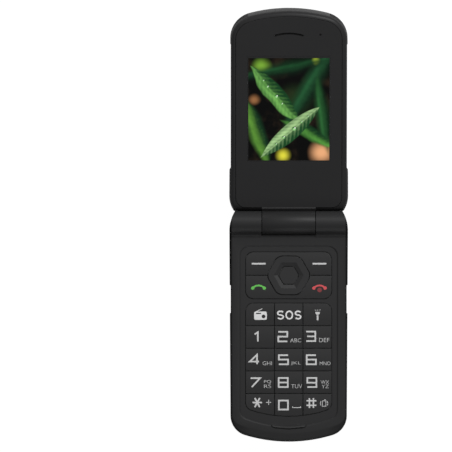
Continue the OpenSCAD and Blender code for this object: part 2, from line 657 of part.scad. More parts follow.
module lid_front_frame() color(case_colour) raise_lid() difference() {
    union() {
        difference() {
            intersection() {
                lid_case();
                lid_band(cut, -cut, 3 * cut, frame_w, cut);
            }
            mirrored() lid_barrel(barrel_r + barrel_clear, knuckle_w / 2, cut);
        }
        lid_barrel(barrel_r, -knuckle_w / 2, knuckle_w / 2);
    }
    translate([0, 0, face_w - panel_seat]) linear_extrude(cut) panel_plan(0.1);
    lid_band(lcd_w / 2 + fit, lcd_mid - lcd_len / 2 - fit, lcd_mid + lcd_len / 2 + fit, -cut, cut);
    lid_band(8, ear_slot_from_hinge - 4.2, ear_slot_from_hinge + 1.6, -cut, cut);
    translate([-knuckle_w / 2 - 1, 0, 0]) rotate([0, 90, 0]) cylinder(r = key_head_r + 0.05, h = key_head_len + 1.2, $fn = 6);
    lid_barrel(flex_r + 0.2, -flex_half - 0.2, flex_half + 0.2);
    lid_barrel(pin_r + run_fit / 2, flex_half, cut);
    lid_band(flex_w / 2 + 0.2, 0, 3 * flex_tail, -flex_depth - flex_t - 0.5, -flex_depth + 0.5);
    lid_screw_places() translate([0, 0, frame_w - 1]) cylinder(r = screw_r + 0.02, h = 2.6);
}
speaker_at = 18.5;
speaker_size = [18, 12, 3];
slot_r = 0.6;
module lid_rear_cover() color(case_colour) raise_lid() difference() {
    union() {
        difference() {
            intersection() {
                lid_case();
                lid_band(cut, -cut, 3 * cut, -cut, frame_w - 0.02);
            }
            translate([0, 0, back_w + lid_floor]) linear_extrude(cut) intersection() {
                lid_plan(skin + wall);
                translate([-cut, barrel_r + barrel_clear + wall]) square([2 * cut, lid_len]);
            }
        }
        lid_screw_places() translate([0, 0, back_w + 0.8]) cylinder(r = 3, h = lid_t - frame_t - 0.9);
    }
    lid_barrel(barrel_r + barrel_clear, -cut, cut);
    lid_screw_places() translate([0, 0, back_w - 1]) cylinder(r = screw_head_r + 0.2, h = 2);
    lid_screw_places() translate([0, 0, back_w]) cylinder(r = screw_r + 0.1, h = lid_t);
    for (i = [-2:2]) translate([0, speaker_at + i * 2.2, back_w - 1]) {
        translate([-6, -slot_r, 0]) cube([12, 2 * slot_r, 4]);
        for (x = [-6, 6]) translate([x, 0, 0]) cylinder(r = slot_r, h = 4);
    }
}
module lid_face_panel() color(panel_colour) raise_lid() translate([0, 0, face_w - panel_t]) linear_extrude(panel_t) difference() {
    panel_plan();
    translate([-window_w / 2, window_from_hinge]) square([window_w, window_len]);
    earpiece_arc();
    translate([15.8, ear_slot_from_hinge - 1]) circle(0.5);
}
module screen_window() color([0.15, 0.3, 0.15]) raise_lid()
    lid_band(window_w / 2 - 0.05, window_from_hinge + 0.05, window_from_hinge + window_len - 0.05, face_w - panel_t, face_w - 0.05);
module lcd_module() color([0.5, 0.55, 0.6]) raise_lid()
    lid_band(lcd_w / 2, lcd_mid - lcd_len / 2, lcd_mid + lcd_len / 2, face_w - panel_seat - 0.05 - lcd_t, face_w - panel_seat - 0.05);
module earpiece_mesh() color([0.1, 0.1, 0.1]) raise_lid() translate([0, 0, face_w - panel_t]) linear_extrude(0.5) earpiece_arc(-0.08);
module earpiece_speaker() color(metal_colour) raise_lid()
    lid_band(7.6, ear_slot_from_hinge - 4, ear_slot_from_hinge + 1.4, frame_w + 0.2, face_w - panel_seat);
module loudspeaker() color([0.25, 0.25, 0.27]) raise_lid() translate([0, speaker_at, back_w + lid_floor + 0.05]) {
    translate([-speaker_size[0] / 2, -speaker_size[1] / 2 + 0.4, 0]) cube(speaker_size);
}
lid_board_t = 0.6;
lid_board_w = frame_w - lid_board_t - 0.1;
lid_board_from = flex_tail + 2;
module lid_board() color([0.1, 0.3, 0.2]) raise_lid() difference() {
    lid_band(lid_w / 2 - 9.2, lid_board_from, lid_len - 18, lid_board_w, lid_board_w + lid_board_t);
    lid_screw_places() cylinder(r = 3.3, h = cut, center = true);
}
module lid_screws() color(metal_colour) raise_lid() lid_screw_places() translate([0, 0, back_w + 0.4]) {
    difference() {
        cylinder(r = screw_head_r, h = 0.6);
        translate([0, 0, -1]) cylinder(r = 0.7, h = 1.3, $fn = 6);
    }
    translate([0, 0, 0.3]) cylinder(r = screw_r, h = lid_t - frame_t + 0.8);
}

// ---- moving parts of the base ----
module sunk_field(points, side) mirror([side, 0, 0]) translate([22, hinge_y, 0])
    rotate([0, asin(field_depth / 17), 0]) translate([-22, 0, -5]) linear_extrude(5) polygon(points);
field_x = 4.8;
upper_field = [[field_x, -3.5], [half_w - 8, -3.5], [half_w - 7.2, -33.3], [field_x, -20.3]];
lower_field = [[field_x, -57.5], [half_w - 6.9, -44.6], [half_w - 8, 21.45 - base_end], [field_x, 17.45 - base_end]];
diamond = both_sides([[0, -52], [half_w - 10.9, -38.8], [0, -25.9]]);

module battery_cover() color(case_colour) difference() {
    intersection() {
        linear_extrude(cover_t) cover_plan();
        union() {
            translate([0, 0, 0.5]) linear_extrude(cover_t) cover_plan(1);
            linear_extrude(1) cover_plan(-0.35);
        }
    }
    for (side = [0, 1]) {
        sunk_field(upper_field, side);
        sunk_field(lower_field, side);
    }
    translate([0, 0, -1]) linear_extrude(1 + field_depth) down(0) soft_polygon(diamond, 1);
    translate([0, 0, -1]) linear_extrude(cut) from_behind() soft_polygon(island, 1.2);
    down(torch_from_hinge) translate([0, 0, -1]) cylinder(r = torch_r + 0.3, h = cut);
    for (x = [-0.5, 0.5]) translate([x * contacts_pitch, hinge_y - contacts_from_hinge, -1])
        cylinder(r = contact_r + 0.3, h = cut);
    translate([0, hinge_y + 1, 0]) rotate([0, 90, 0]) cylinder(r = nail_r, h = nail_w, center = true);
}
module cover_seal() color([0.2, 0.2, 0.22]) intersection() {
    translate([0, 0, cover_t - 1]) seal_ring(0);
    translate([-cut, -2 * cut, cover_t]) cube([2 * cut, 4 * cut, 0.5]);
}
module rear_sos_key() color(orange_colour)
    translate([0, 0, 0.35]) linear_extrude(pocket_z + 1.3) from_behind() soft_polygon(alarm_outline, 0.7);

// Key that rocks in the left channel, and the flap that shuts the socket in the right one
side_mid = (channel_from + channel_to) / 2;
module side_key(x) translate([x, hinge_y - side_mid, side_key_z]) linear_extrude(seam_z - 0.4 - side_key_z) children();
module side_key_plan() polygon([[0, -side_key_len / 2], [side_key_t - 0.7, -side_key_len / 2], [side_key_t, -side_key_len / 2 + 1.2],
    [side_key_t, side_key_len / 2 - 1.2], [side_key_t - 0.7, side_key_len / 2], [0, side_key_len / 2]]);
module volume_rocker() color([0.24, 0.24, 0.24]) mirror([1, 0, 0]) side_key(channel_x + 0.35) difference() {
    side_key_plan();
    translate([side_key_t + 1.2, 0]) circle(1.5);
}
module usb_flap() color([0.24, 0.24, 0.24]) side_key(channel_x + 0.3) side_key_plan();

module cap(z = key_z, t = key_t) translate([0, 0, z]) linear_extrude(t) children();
// A cap that spans two keys and rocks from side to side round the navigation ring
module pair_bar(from, to) cap() intersection() {
    difference() {
        upper_block(-0.05);
        down(nav_at) hexagon(ring_r, ring_round, key_gap);
    }
    translate([-cut, hinge_y - to]) square([2 * cut, to - from]);
}
module soft_key_bar() color(key_colour) pair_bar(0, nav_at - key_gap / 2);
module call_key_bar() color(key_colour) pair_bar(nav_at + key_gap / 2, 2 * cut);

ring_slope = 0.75;
module nav_ring() color(key_colour) difference() {
    cap() down(nav_at) hexagon(ring_r, ring_round);
    down(nav_at) translate([0, 0, key_z - 1]) linear_extrude(cut) hexagon(ok_r, ok_round, 0.35);
    down(nav_at) translate([0, 0, key_z + key_t - ring_slope])
        cylinder(r1 = ok_r + 0.35, r2 = ok_r + 0.35 + 2.6 * 1.05, h = ring_slope * 1.05, $fn = 6);
    down(nav_at) translate([0, 0, key_z - slice]) linear_extrude(0.5) hexagon(ok_r + 3.2, ok_round + 3);
}
// Soft pad under the ring, on which it tips towards its four corners
module nav_pad() color([0.35, 0.35, 0.35]) difference() {
    down(nav_at) translate([0, 0, key_z + 0.05]) linear_extrude(0.25) hexagon(ok_r + 2.9, ok_round + 2.7);
    down(nav_at) translate([0, 0, key_z - 1]) linear_extrude(3) hexagon(ok_r, ok_round, 0.35);
}
module ok_key() color(key_colour) cap(key_z, key_t - ring_slope + 0.1) down(nav_at) hexagon(ok_r, ok_round);

// One cap of the lower block
module keypad_key(i) color(key_colour) cap() intersection() {
    lower_block(-0.05);
    translate([column_edge(i % 3) + key_gap / 2, hinge_y - lower_from - (floor(i / 3) + 1) * row_pitch + key_gap / 2])
        square([column_edge(i % 3 + 1) - column_edge(i % 3) - key_gap, row_pitch - key_gap]);
}

base_front_housing();
base_rear_housing();
upper_bumpers();
lower_bumper();
main_board();
shield_cans();
dome_sheet();
keypad_membrane();
battery();
camera_module();
camera_bezel();
camera_window();
torch_led();
torch_lens();
charging_contacts();
usb_socket();
vibration_motor();
housing_screws();
hinge_cartridge();
hinge_bush();
battery_cover();
cover_seal();
rear_sos_key();
volume_rocker();
usb_flap();
soft_key_bar();
call_key_bar();
nav_ring();
nav_pad();
ok_key();
lid_front_frame();
lid_rear_cover();
lid_bumpers();
lid_face_panel();
screen_window();
lcd_module();
earpiece_speaker();
earpiece_mesh();
loudspeaker();
lid_board();
lid_screws();
hinge_shaft();
hinge_pin();
hinge_flex();
for (i = [0:14]) keypad_key(i);
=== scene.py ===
from math import asin, cos, degrees, pi, radians, sin, sqrt, tan

import bmesh
import bpy
from mathutils import Matrix, Vector


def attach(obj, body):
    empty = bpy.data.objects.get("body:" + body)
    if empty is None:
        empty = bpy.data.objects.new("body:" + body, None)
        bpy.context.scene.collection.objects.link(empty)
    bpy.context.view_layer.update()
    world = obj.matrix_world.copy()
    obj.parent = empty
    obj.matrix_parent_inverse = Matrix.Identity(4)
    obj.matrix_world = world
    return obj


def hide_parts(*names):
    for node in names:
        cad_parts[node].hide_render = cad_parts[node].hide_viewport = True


bl_info = {
    "name": "Rugged folding phone",
    "version": (1, 0, 0),
    "blender": (4, 5, 0),
    "location": "3D View > Sidebar > Phone",
    "description": "Dresses the packed folding phone with its finished shells, keys, legends and screen",
    "category": "Object",
}

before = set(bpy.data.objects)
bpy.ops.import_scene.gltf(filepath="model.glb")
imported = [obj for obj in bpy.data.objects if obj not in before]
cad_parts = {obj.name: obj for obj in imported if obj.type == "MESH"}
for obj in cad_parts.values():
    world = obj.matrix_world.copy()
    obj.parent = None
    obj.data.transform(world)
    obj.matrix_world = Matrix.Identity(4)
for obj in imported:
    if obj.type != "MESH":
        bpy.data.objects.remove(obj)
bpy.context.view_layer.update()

IN_MM = 1000.0
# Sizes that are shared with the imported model, in millimetres
HALF_W, BASE_END, BASE_T, SEAM = 29.6, 109.45, 12.4, 7.4
HINGE_Y, AXIS_Z, RISE = 54.1, 12.6, 17.0
BARREL_R, BARREL_CLEAR, KNUCKLE, KNUCKLE_GAP = 5.75, 0.3, 13.3, 0.3
FACE_W, FRAME_W, BACK_W = -0.2, -4.4, -10.6
LID_LEN, LID_HALF, EAR_HALF = 109.25, 29.2, 29.65
DISH_Z, PLATE_Z, KEY_Z, KEY_TOP = 11.92, 10.6, 10.75, 12.25
PAD_HALF, UPPER_FROM, UPPER_TO, NAV_AT = 21.5, 14.7, 38.1, 26.4
LOWER_FROM, ROW, LOWER_TO, COLUMN = 40.25, 11.3, 96.75, 7.1
END_BOW, NARROWING, SKIN = 75.0, 0.55, 1.0
# Radius of each half's shoulder and the height of its centre, then corners and top edges
FRONT_SHOULDER, REAR_SHOULDER, LID_SHOULDER = (19, -4), (10, -9), (14, -13)
CASE_CORNER, LID_CORNER, REAR_TOP, LID_TOP = 10.2, 13.2, 0.2, 1.2
LENS_AT, TORCH_AT, CONTACTS_AT = (12.4, -8.7), (0, -13.6), ((-2.7, -98), (2.7, -98))
SLOT_HALF, SLOT_R, SLOT_TOP, SENSOR_AT, SENSOR_R = 7.4, 24.0, 98.6, (15.65, 97.55), 0.56
KEY_NAMES = ["radio_key", "sos_key", "torch_key"] + ["key_%d" % n for n in range(1, 10)] + [
    "star_key", "key_0", "hash_key"]
# Outside the phone, where cutters start and end, and just under the front housing
BELOW, ABOVE, BEYOND, UNDER_FRONT = -3.0, 20.0, 40.0, 7.0


# ---- sketches and solids, drawn in millimetres from the hinge axis ----

MERGE, LEVEL, FLAT = 0.004, 1e-4, 0.9
ACROSS = Matrix(((0, 0, 1, 0), (1, 0, 0, 0), (0, 1, 0, 0), (0, 0, 0, 1)))


def path(bm, start, *moves):
    """Chain of edges: a move is a point, or (centre x, centre y, degrees, steps) for an arc."""
    last = bm.verts.new((start[0], start[1], 0))
    for move in moves:
        if len(move) == 2:
            point = bm.verts.new((move[0], move[1], 0))
            bm.edges.new((last, point))
            last = point
        else:
            x, y, turn, steps = move
            last = bmesh.ops.spin(bm, geom=[last], cent=(x, y, 0), axis=(0, 0, 1), angle=radians(turn),
                                  steps=steps)["geom_last"][0]
    return last


def filled(bm):
    """Closes an outline with one flat face that looks up."""
    bmesh.ops.remove_doubles(bm, verts=bm.verts[:], dist=MERGE)
    bmesh.ops.contextual_create(bm, geom=bm.edges[:])
    for face in bm.faces:
        if face.normal.z < 0:
            face.normal_flip()
    return bm


def half_path(start, *moves):
    """Symmetric outline from its right half, which starts and ends on the middle line."""
    bm = bmesh.new()
    path(bm, start, *moves)
    for v in bm.verts:
        if abs(v.co.x) < MERGE:
            v.co.x = 0
    bmesh.ops.mirror(bm, geom=bm.verts[:] + bm.edges[:], axis="X", merge_dist=MERGE)
    return filled(bm)


def end_moves(half, reach, corner, bow, steps=(14, 12), way=-1):
    """Corner arc and bowed end of an outline, from its side at x = half to the middle line."""
    x = half - corner
    y = reach - bow + sqrt((bow - corner) ** 2 - x ** 2)
    turn = degrees(asin(x / (bow - corner)))
    return [(half, way * y), (x, way * y, way * (90 - turn), steps[0]),
            (0, way * (reach - bow), way * turn, steps[1])]


def case_outline(half, end_half, reach, top, shoulder, inset=0.0, corner=CASE_CORNER, steps=12):
    """Half of the phone seen from the front: shoulder, side, corner and bowed end."""
    x, r = half - shoulder[0], shoulder[0] - inset
    rise = min(1, (top - inset - shoulder[1]) / r)
    y, angle = shoulder[1] + r * rise, asin(rise)
    return half_path((0, y), (x + r * cos(angle), y), (x, shoulder[1], -degrees(angle), steps),
                     *end_moves(end_half - inset, reach - inset, corner - inset, END_BOW - inset))


def front_outline(inset=0.0, top=0.0):
    return case_outline(HALF_W, HALF_W - NARROWING, BASE_END, top, FRONT_SHOULDER, inset)


def rear_outline(inset=0.0):
    return case_outline(HALF_W, HALF_W - NARROWING, BASE_END, REAR_TOP, REAR_SHOULDER, inset)


def lid_outline(inset=0.0):
    bm = case_outline(EAR_HALF, LID_HALF, LID_LEN, LID_TOP, LID_SHOULDER, inset, LID_CORNER)
    bmesh.ops.scale(bm, vec=(1, -1, 1), verts=bm.verts[:])
    bmesh.ops.reverse_faces(bm, faces=bm.faces[:])
    return bm


def bowed_block(half, top, foot, corner, bow, steps=(8, 10)):
    """Outline with straight sides, round corners and a bowed foot, measured down from the hinge."""
    x = half - corner
    return half_path((0, -top), (x, -top), (x, -top - corner, -90, steps[0]),
                     *end_moves(half, foot, corner, bow, steps))


def bevelled(bm, geom, size, steps, affect="EDGES"):
    bmesh.ops.bevel(bm, geom=geom, offset=size, offset_type="OFFSET", segments=steps, profile=0.5,
                    affect=affect, material=-1)
    return bm


def signed_area(corners):
    return sum(a[0] * b[1] - b[0] * a[1] for a, b in zip(corners, corners[1:] + corners[:1]))


def polygon(corners, radius=0.0, steps=5):
    """Flat face through the corners, each rounded to the radius."""
    bm = bmesh.new()
    verts = [bm.verts.new((x, y, 0)) for x, y in corners]
    bm.faces.new(verts)
    if signed_area(corners) < 0:
        bmesh.ops.reverse_faces(bm, faces=bm.faces[:])
    if radius:
        for v, turn in [(v, v.calc_edge_angle()) for v in verts]:
            bevelled(bm, [v], radius * tan(turn / 2), steps, "VERTICES")
    return bm


def rectangle(x0, y0, x1, y1, radius=0.0, steps=5):
    return polygon([(x0, y0), (x1, y0), (x1, y1), (x0, y1)], radius, steps)


def disc(x, y, r, steps=48):
    bm = bmesh.new()
    bmesh.ops.create_circle(bm, cap_ends=True, segments=steps, radius=r)
    bmesh.ops.translate(bm, verts=bm.verts[:], vec=(x, y, 0))
    return bm


def rim(bm, z):
    """Edges round the flat face at a height."""
    return [e for e in bm.edges if all(abs(v.co.z - z) < LEVEL for v in e.verts)
            and any(abs(f.normal.z) < FLAT for f in e.link_faces)]


def pulled_up(bm, height):
    """Extrudes the faces by a height and returns the new vertices."""
    pulled = bmesh.ops.extrude_face_region(bm, geom=bm.faces[:])["geom"]
    upper = [g for g in pulled if isinstance(g, bmesh.types.BMVert)]
    bmesh.ops.translate(bm, verts=upper, vec=(0, 0, height))
    return upper


def raised(bm, z0, z1, top=0.0, bottom=0.0, steps=4):
    """Pulls a flat face up into a solid between two heights and rounds its rims."""
    bmesh.ops.translate(bm, verts=bm.verts[:], vec=(0, 0, z0))
    pulled_up(bm, z1 - z0)
    bmesh.ops.recalc_face_normals(bm, faces=bm.faces[:])
    for z, size in ((z1, top), (z0, bottom)):
        if size:
            bevelled(bm, rim(bm, z), size, steps)
    return bm


def moved(bm, matrix):
    bmesh.ops.transform(bm, matrix=matrix, verts=bm.verts[:])
    return bm


def barrel(r, x0, x1, steps=96, chamfer=0.0, y=0.0, z=0.0):
    """Cylinder along the hinge axis."""
    return moved(raised(disc(0, 0, r, steps), x0, x1, chamfer, chamfer, 2),
                 Matrix.Translation((0, y, z)) @ ACROSS)


def along(profile, x0, x1):
    """Solid of one profile, given as (y, z) points, that runs across the phone."""
    return moved(raised(polygon(profile), x0, x1), ACROSS)


def block(x0, x1, y0, y1, z0, z1):
    return raised(rectangle(x0, y0, x1, y1), z0, z1)


def pocket(half, d0, d1, radius, z0, z1, steps=8):
    """Rounded block between two distances below the hinge."""
    return raised(rectangle(-half, -d1, half, -d0, radius, steps), z0, z1)


def both(bm):
    """A solid and its mirror image in the middle plane."""
    copy = bm.copy()
    bmesh.ops.scale(copy, vec=(-1, 1, 1), verts=copy.verts[:])
    bmesh.ops.reverse_faces(copy, faces=copy.faces[:])
    return [bm, copy]


def grown(bm, amount):
    """The flat face, larger by an even border."""
    bm.normal_update()
    for face in bm.faces:
        loops = face.loops[:]
        out = [(l.link_loop_next.vert.co - l.vert.co).cross(face.normal).normalized() for l in loops]
        for loop, before, after in zip(loops, out[-1:] + out, out):
            middle = (before + after).normalized()
            loop.vert.co += middle * amount / middle.dot(after)
    return bm


def gathered(*solids):
    """Several solids in one mesh."""
    whole = bmesh.new()
    for solid in solids:
        mesh = bpy.data.meshes.new("part")
        solid.to_mesh(mesh)
        whole.from_mesh(mesh)
        bpy.data.meshes.remove(mesh)
    return whole


def as_object(bm, name="tool"):
    mesh = bpy.data.meshes.new(name)
    bm.to_mesh(mesh)
    o = bpy.data.objects.new(name, mesh)
    bpy.context.scene.collection.objects.link(o)
    return o


def evaluated(o):
    """The mesh that an object's modifiers make, without the object."""
    bpy.context.view_layer.update()
    seen = o.evaluated_get(bpy.context.evaluated_depsgraph_get())
    result = bmesh.new()
    result.from_mesh(seen.to_mesh())
    seen.to_mesh_clear()
    bpy.data.meshes.remove(o.data)
    return result


def combined(bm, *steps):
    """Works other solids into one: each step is the name of a Boolean and the solid it uses."""
    holder = as_object(bm)
    tools = []
    for how, other in steps:
        for solid in other if isinstance(other, list) else [other]:
            tools.append(as_object(solid))
            cutter = holder.modifiers.new(how.title(), "BOOLEAN")
            cutter.operation, cutter.solver, cutter.object = how, "MANIFOLD", tools[-1]
    result = evaluated(holder)
    for o in tools:
        bpy.data.meshes.remove(o.data)
    bmesh.ops.remove_doubles(result, verts=result.verts[:], dist=LEVEL)
    if not result.faces:
        raise RuntimeError("a Boolean left nothing")
    return result


BASE_PLACE = Matrix.Scale(1 / IN_MM, 4) @ Matrix.Translation((0, HINGE_Y, 0))
LID_PLACE = (Matrix.Scale(1 / IN_MM, 4) @ Matrix.Translation((0, HINGE_Y, AXIS_Z))
             @ Matrix.Rotation(radians(RISE), 4, "X"))
EDGE_TURN, LIP_TURN = radians(38), radians(12)


def spare_edges(solid, spared):
    """Marks the edges to round, and keeps those of a small form as they are."""
    weight = solid.edges.layers.float.new("bevel_weight_edge")
    for e in solid.edges:
        turn, kept = e.calc_face_angle(0), any(spared(v.co) for v in e.verts)
        e[weight] = turn > EDGE_TURN and not kept
        e.smooth = not kept or turn < LIP_TURN


def piece(name, solid, body, finish, stands_for=(), soften=0.0, smooth=32.0, spared=None):
    """Makes the finished object, sets it on its body and hides the nodes it stands for."""
    if spared:
        spare_edges(solid, spared)
    o = as_object(solid, name)
    raw = o.data
    raw.polygons.foreach_set("use_smooth", [True] * len(raw.polygons))
    if soften:
        edges = o.modifiers.new("Edges", "BEVEL")
        edges.limit_method, edges.angle_limit = "WEIGHT" if spared else "ANGLE", EDGE_TURN
        edges.width, edges.segments, edges.profile = soften, 2, 0.5
        edges.miter_outer, edges.harden_normals = "MITER_ARC", True
    else:
        raw.set_sharp_from_angle(angle=radians(smooth))
        normals = o.modifiers.new("Normals", "WEIGHTED_NORMAL")
        normals.keep_sharp, normals.weight = True, 60
    bpy.context.view_layer.update()
    mesh = bpy.data.meshes.new_from_object(o.evaluated_get(bpy.context.evaluated_depsgraph_get()))
    o.modifiers.clear()
    o.data = mesh
    bpy.data.meshes.remove(raw)
    mesh.name = name
    mesh.transform(LID_PLACE if body == "lid" else BASE_PLACE)
    mesh.materials.clear()
    mesh.materials.append(finish)
    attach(o, body)
    if stands_for:
        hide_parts(*stands_for)
    return o


# ---- finishes ----

class Value:
    """A shader value. Sums and products of values add the Math nodes they need."""

    def __init__(self, finish, socket):
        self.finish, self.socket = finish, socket

    def math(self, operation, *others):
        node = self.finish.node("Math", operation=operation)
        for socket, value in zip(node.inputs, (self,) + others):
            self.finish.feed(socket, value)
        return Value(self.finish, node.outputs[0])

    def __add__(self, other):
        return self.math("ADD", other)

    def __sub__(self, other):
        return self.math("SUBTRACT", other)

    def __rsub__(self, other):
        return self.math("MULTIPLY", -1.0) + other

    def __mul__(self, other):
        return self.math("MULTIPLY", other)

    def __truediv__(self, other):
        return self.math("DIVIDE", other)

    def __pow__(self, other):
        return self.math("POWER", other)

    __radd__, __rmul__ = __add__, __mul__

    def least(self, other):
        return self.math("MINIMUM", other)

    def most(self, other):
        return self.math("MAXIMUM", other)

    def size(self):
        return self.math("ABSOLUTE")

    def sine(self):
        return self.math("SINE")

    def root(self):
        return self.math("SQRT")

    def step(self, low, high):
        """Soft step from 0 at low to 1 at high."""
        node = self.finish.node("MapRange", {"Value": self, "From Min": low, "From Max": high},
                                interpolation_type="SMOOTHSTEP")
        return Value(self.finish, node.outputs[0])


class Finish:
    """One procedural material."""

    def __init__(self, name):
        self.material = bpy.data.materials.new(name)
        self.material.use_nodes = True
        self.tree = self.material.node_tree
        self.tree.nodes.clear()
        self.out = self.node("OutputMaterial")
        self.shader = self.node("BsdfPrincipled")
        self.tree.links.new(self.shader.outputs[0], self.out.inputs[0])
        self.place = self.node("TexCoord").outputs["Object"]

    def node(self, kind, inputs=None, **settings):
        node = self.tree.nodes.new("ShaderNode" + kind)
        for key, value in settings.items():
            setattr(node, key, value)
        for key, value in (inputs or {}).items():
            self.feed(node.inputs[key], value)
        return node

    def feed(self, socket, value):
        if isinstance(value, Value):
            self.tree.links.new(value.socket, socket)
        elif isinstance(value, bpy.types.NodeSocket):
            self.tree.links.new(value, socket)
        elif socket.type == "RGBA" and len(value) == 3:
            socket.default_value = (*value, 1)
        else:
            socket.default_value = value

    def set(self, **values):
        """Sets or links inputs of the surface shader: Base_Color stands for Base Color."""
        for key, value in values.items():
            self.feed(self.shader.inputs[key.replace("_", " ")], value)
        return self

    def axes(self, vector):
        """The x, y and z values of a vector."""
        return [Value(self, socket) for socket in self.node("SeparateXYZ", {0: vector}).outputs]

    def noise(self, scale, detail=2.0, roughness=0.5, vector=None):
        node = self.node("TexNoise", {"Vector": vector or self.place, "Scale": scale, "Detail": detail,
                                      "Roughness": roughness})
        return Value(self, node.outputs["Fac"])

    def mix(self, amount, a, b):
        """Colour a where amount is 0, colour b where it is 1."""
        return self.node("Mix", {0: amount, 6: a, 7: b}, data_type="RGBA").outputs[2]

    def bump(self, height, strength, distance):
        node = self.node("Bump", {"Height": height, "Strength": strength, "Distance": distance})
        return self.set(Normal=node.outputs[0])

    def blend(self, amount, other):
        """Lets another shader take over from the surface shader where amount is 1."""
        mixed = self.node("MixShader", {0: amount, 1: self.shader.outputs[0], 2: other.outputs[0]})
        self.tree.links.new(mixed.outputs[0], self.out.inputs[0])


def shade(colour, factor):
    return tuple(c * factor for c in colour)


# Share of the colour kept where shade is painted on the front housing's outer wall
RIM_SHADE = 0.22


def moulded(name, colour, roughness=0.5, grain=0.00002, spread=0.05, scale=5200.0, specular=0.16,
            coat=0.0, rim=False):
    """Moulded plastic or rubber with a fine eroded grain and slightly uneven gloss; with rim set, painted
    shade darkens the outer wall.
    """
    f = Finish(name)
    colour = tuple(colour)
    patchy, broad_gloss, scuff_gloss, mean_gloss = 0.4, 0.08, 0.05, 0.06
    fine = f.noise(scale, detail=3.0, roughness=0.6)
    broad = f.noise(scale=60.0, detail=3.0)
    scuff = f.noise(scale=900.0, detail=4.0, roughness=0.7).step(low=0.6, high=0.8)
    tone = f.mix(fine * (1 - patchy) + broad * patchy, shade(colour, 1 - 2 * spread),
                 shade(colour, 1 + 2 * spread))
    rough = broad * broad_gloss + scuff * scuff_gloss + (roughness - mean_gloss)
    f.set(Base_Color=tone, Roughness=rough, Specular_IOR_Level=specular, Coat_Weight=coat,
          Coat_Roughness=0.12)
    f.bump(fine, strength=0.5, distance=grain)
    # painted shade: a dark, dull copy of the surface takes over on the outer wall, where the sides turn away
    # from the light
    if rim:
        dark = {"Base Color": shade(colour, RIM_SHADE), "Roughness": 0.8, "Specular IOR Level": 0.02,
                "Normal": f.shader.inputs["Normal"].links[0].from_socket}
        f.blend(painted_rim_shade_mask(f), f.node("BsdfPrincipled", dark))
    return f.material


def painted_rim_shade_mask(f):
    """Painted shade mask: 1 on the outer wall of the front housing and part way round its lower corners, 0
    on its face and its dish.
    """
    face_from, wall_to = 0.95, 0.45
    wall_x, edge_x = (0.0255, 0.0262), (0.0278, 0.0292)
    foot_y, hinge_y = (-0.0505, -0.0495), (0.044, 0.0475)
    x, y = f.axes(f.place)[:2]
    up = f.axes(f.node("TexCoord").outputs["Normal"])[2]
    outer = x.size().step(*wall_x).most(1.0 - y.step(*foot_y))
    below_hinge = 1.0 - y.step(*hinge_y)
    wall = (1.0 - up.step(wall_to, face_from)) * outer * below_hinge
    return wall.most(x.size().step(*edge_x)).most(foot_shade(x, y))


def foot_shade(x, y):
    """Part shade round the two lower corners, beyond an arc about each corner's centre."""
    corner_x, corner_y, half_chord_squared, bow = 18.85, 42.35, 355.0, 130.0
    arc_from, arc_to, squareness = 5.6, 6.6, 3.0
    at_side, at_foot, fade, tiny = 0.36, 0.14, 1.5, 0.001
    x, y = x * IN_MM, y * IN_MM
    across, down = (x.size() - corner_x).most(0.0), y * -1.0 - corner_y
    away = down - ((half_chord_squared - x * x) / bow).most(0.0)
    far = (across * across + away * away).root() + tiny
    side = across / far
    beyond = (far - side ** 4.0 * squareness).step(arc_from, arc_to)
    return beyond * (side * at_side + at_foot) * down.step(0.0, fade)


def torch_finish(name):
    """Clear moulded lens with fine rings over a warm diode."""
    diode_r, lens_r, ring_pitch = (0.5, 1.3), (2.1, 2.55), 14.0
    hollow, crest, diode, edge = (0.5, 0.51, 0.45), (0.95, 0.95, 0.88), (0.85, 0.8, 0.3), (0.3, 0.3, 0.28)
    f = Finish(name)
    x, y = f.axes(f.place)[:2]
    y = y - (HINGE_Y + TORCH_AT[1]) / IN_MM
    far = (x * x + y * y).root() * IN_MM
    rings = (far * ring_pitch).sine() * 0.12 + 0.5
    tone = f.mix(1.0 - far.step(*diode_r), f.mix(rings, hollow, crest), diode)
    f.set(Base_Color=f.mix(far.step(*lens_r), tone, edge), Roughness=0.18, Specular_IOR_Level=0.35)
    return f.bump(rings, strength=0.4, distance=0.00005).material


def metal(name, colour, roughness=0.3, brushed=(1, 1, 1)):
    f = Finish(name)
    stretched = f.node("Mapping", {"Vector": f.place, "Scale": brushed}).outputs[0]
    darker, brighter, uneven = 0.85, 1.1, 0.15
    lines = f.noise(scale=2500.0, detail=4.0, roughness=0.6, vector=stretched)
    f.set(Base_Color=f.mix(lines, shade(colour, darker), shade(colour, brighter)), Metallic=1.0,
          Roughness=lines * uneven + roughness)
    return f.bump(lines, strength=0.3, distance=0.00001).material


def gloss(name, colour, roughness=0.1, coat=0.0):
    """Polished plastic or glass with faint smears."""
    f = Finish(name)
    colour = tuple(colour)
    dust_shade, smear_gloss, dust_gloss = 1.25, 0.06, 0.05
    smear = f.noise(scale=45.0, detail=4.0, roughness=0.65).step(low=0.45, high=0.75)
    dust = f.noise(scale=2600.0).step(low=0.68, high=0.75)
    f.set(Base_Color=f.mix(dust, colour, shade(colour, dust_shade)),
          Roughness=smear * smear_gloss + dust * dust_gloss + roughness,
          Specular_IOR_Level=0.35, Coat_Weight=coat, Coat_Roughness=0.05)
    return f.material


def printed(name, colour, roughness=0.45):
    """Printed legend: even, slightly mottled ink."""
    f = Finish(name)
    darker, brighter = 0.92, 1.04
    ink = f.noise(scale=3000.0)
    f.set(Base_Color=f.mix(ink, shade(colour, darker), shade(colour, brighter)), Roughness=roughness)
    return f.bump(ink, strength=0.2, distance=0.000005).material


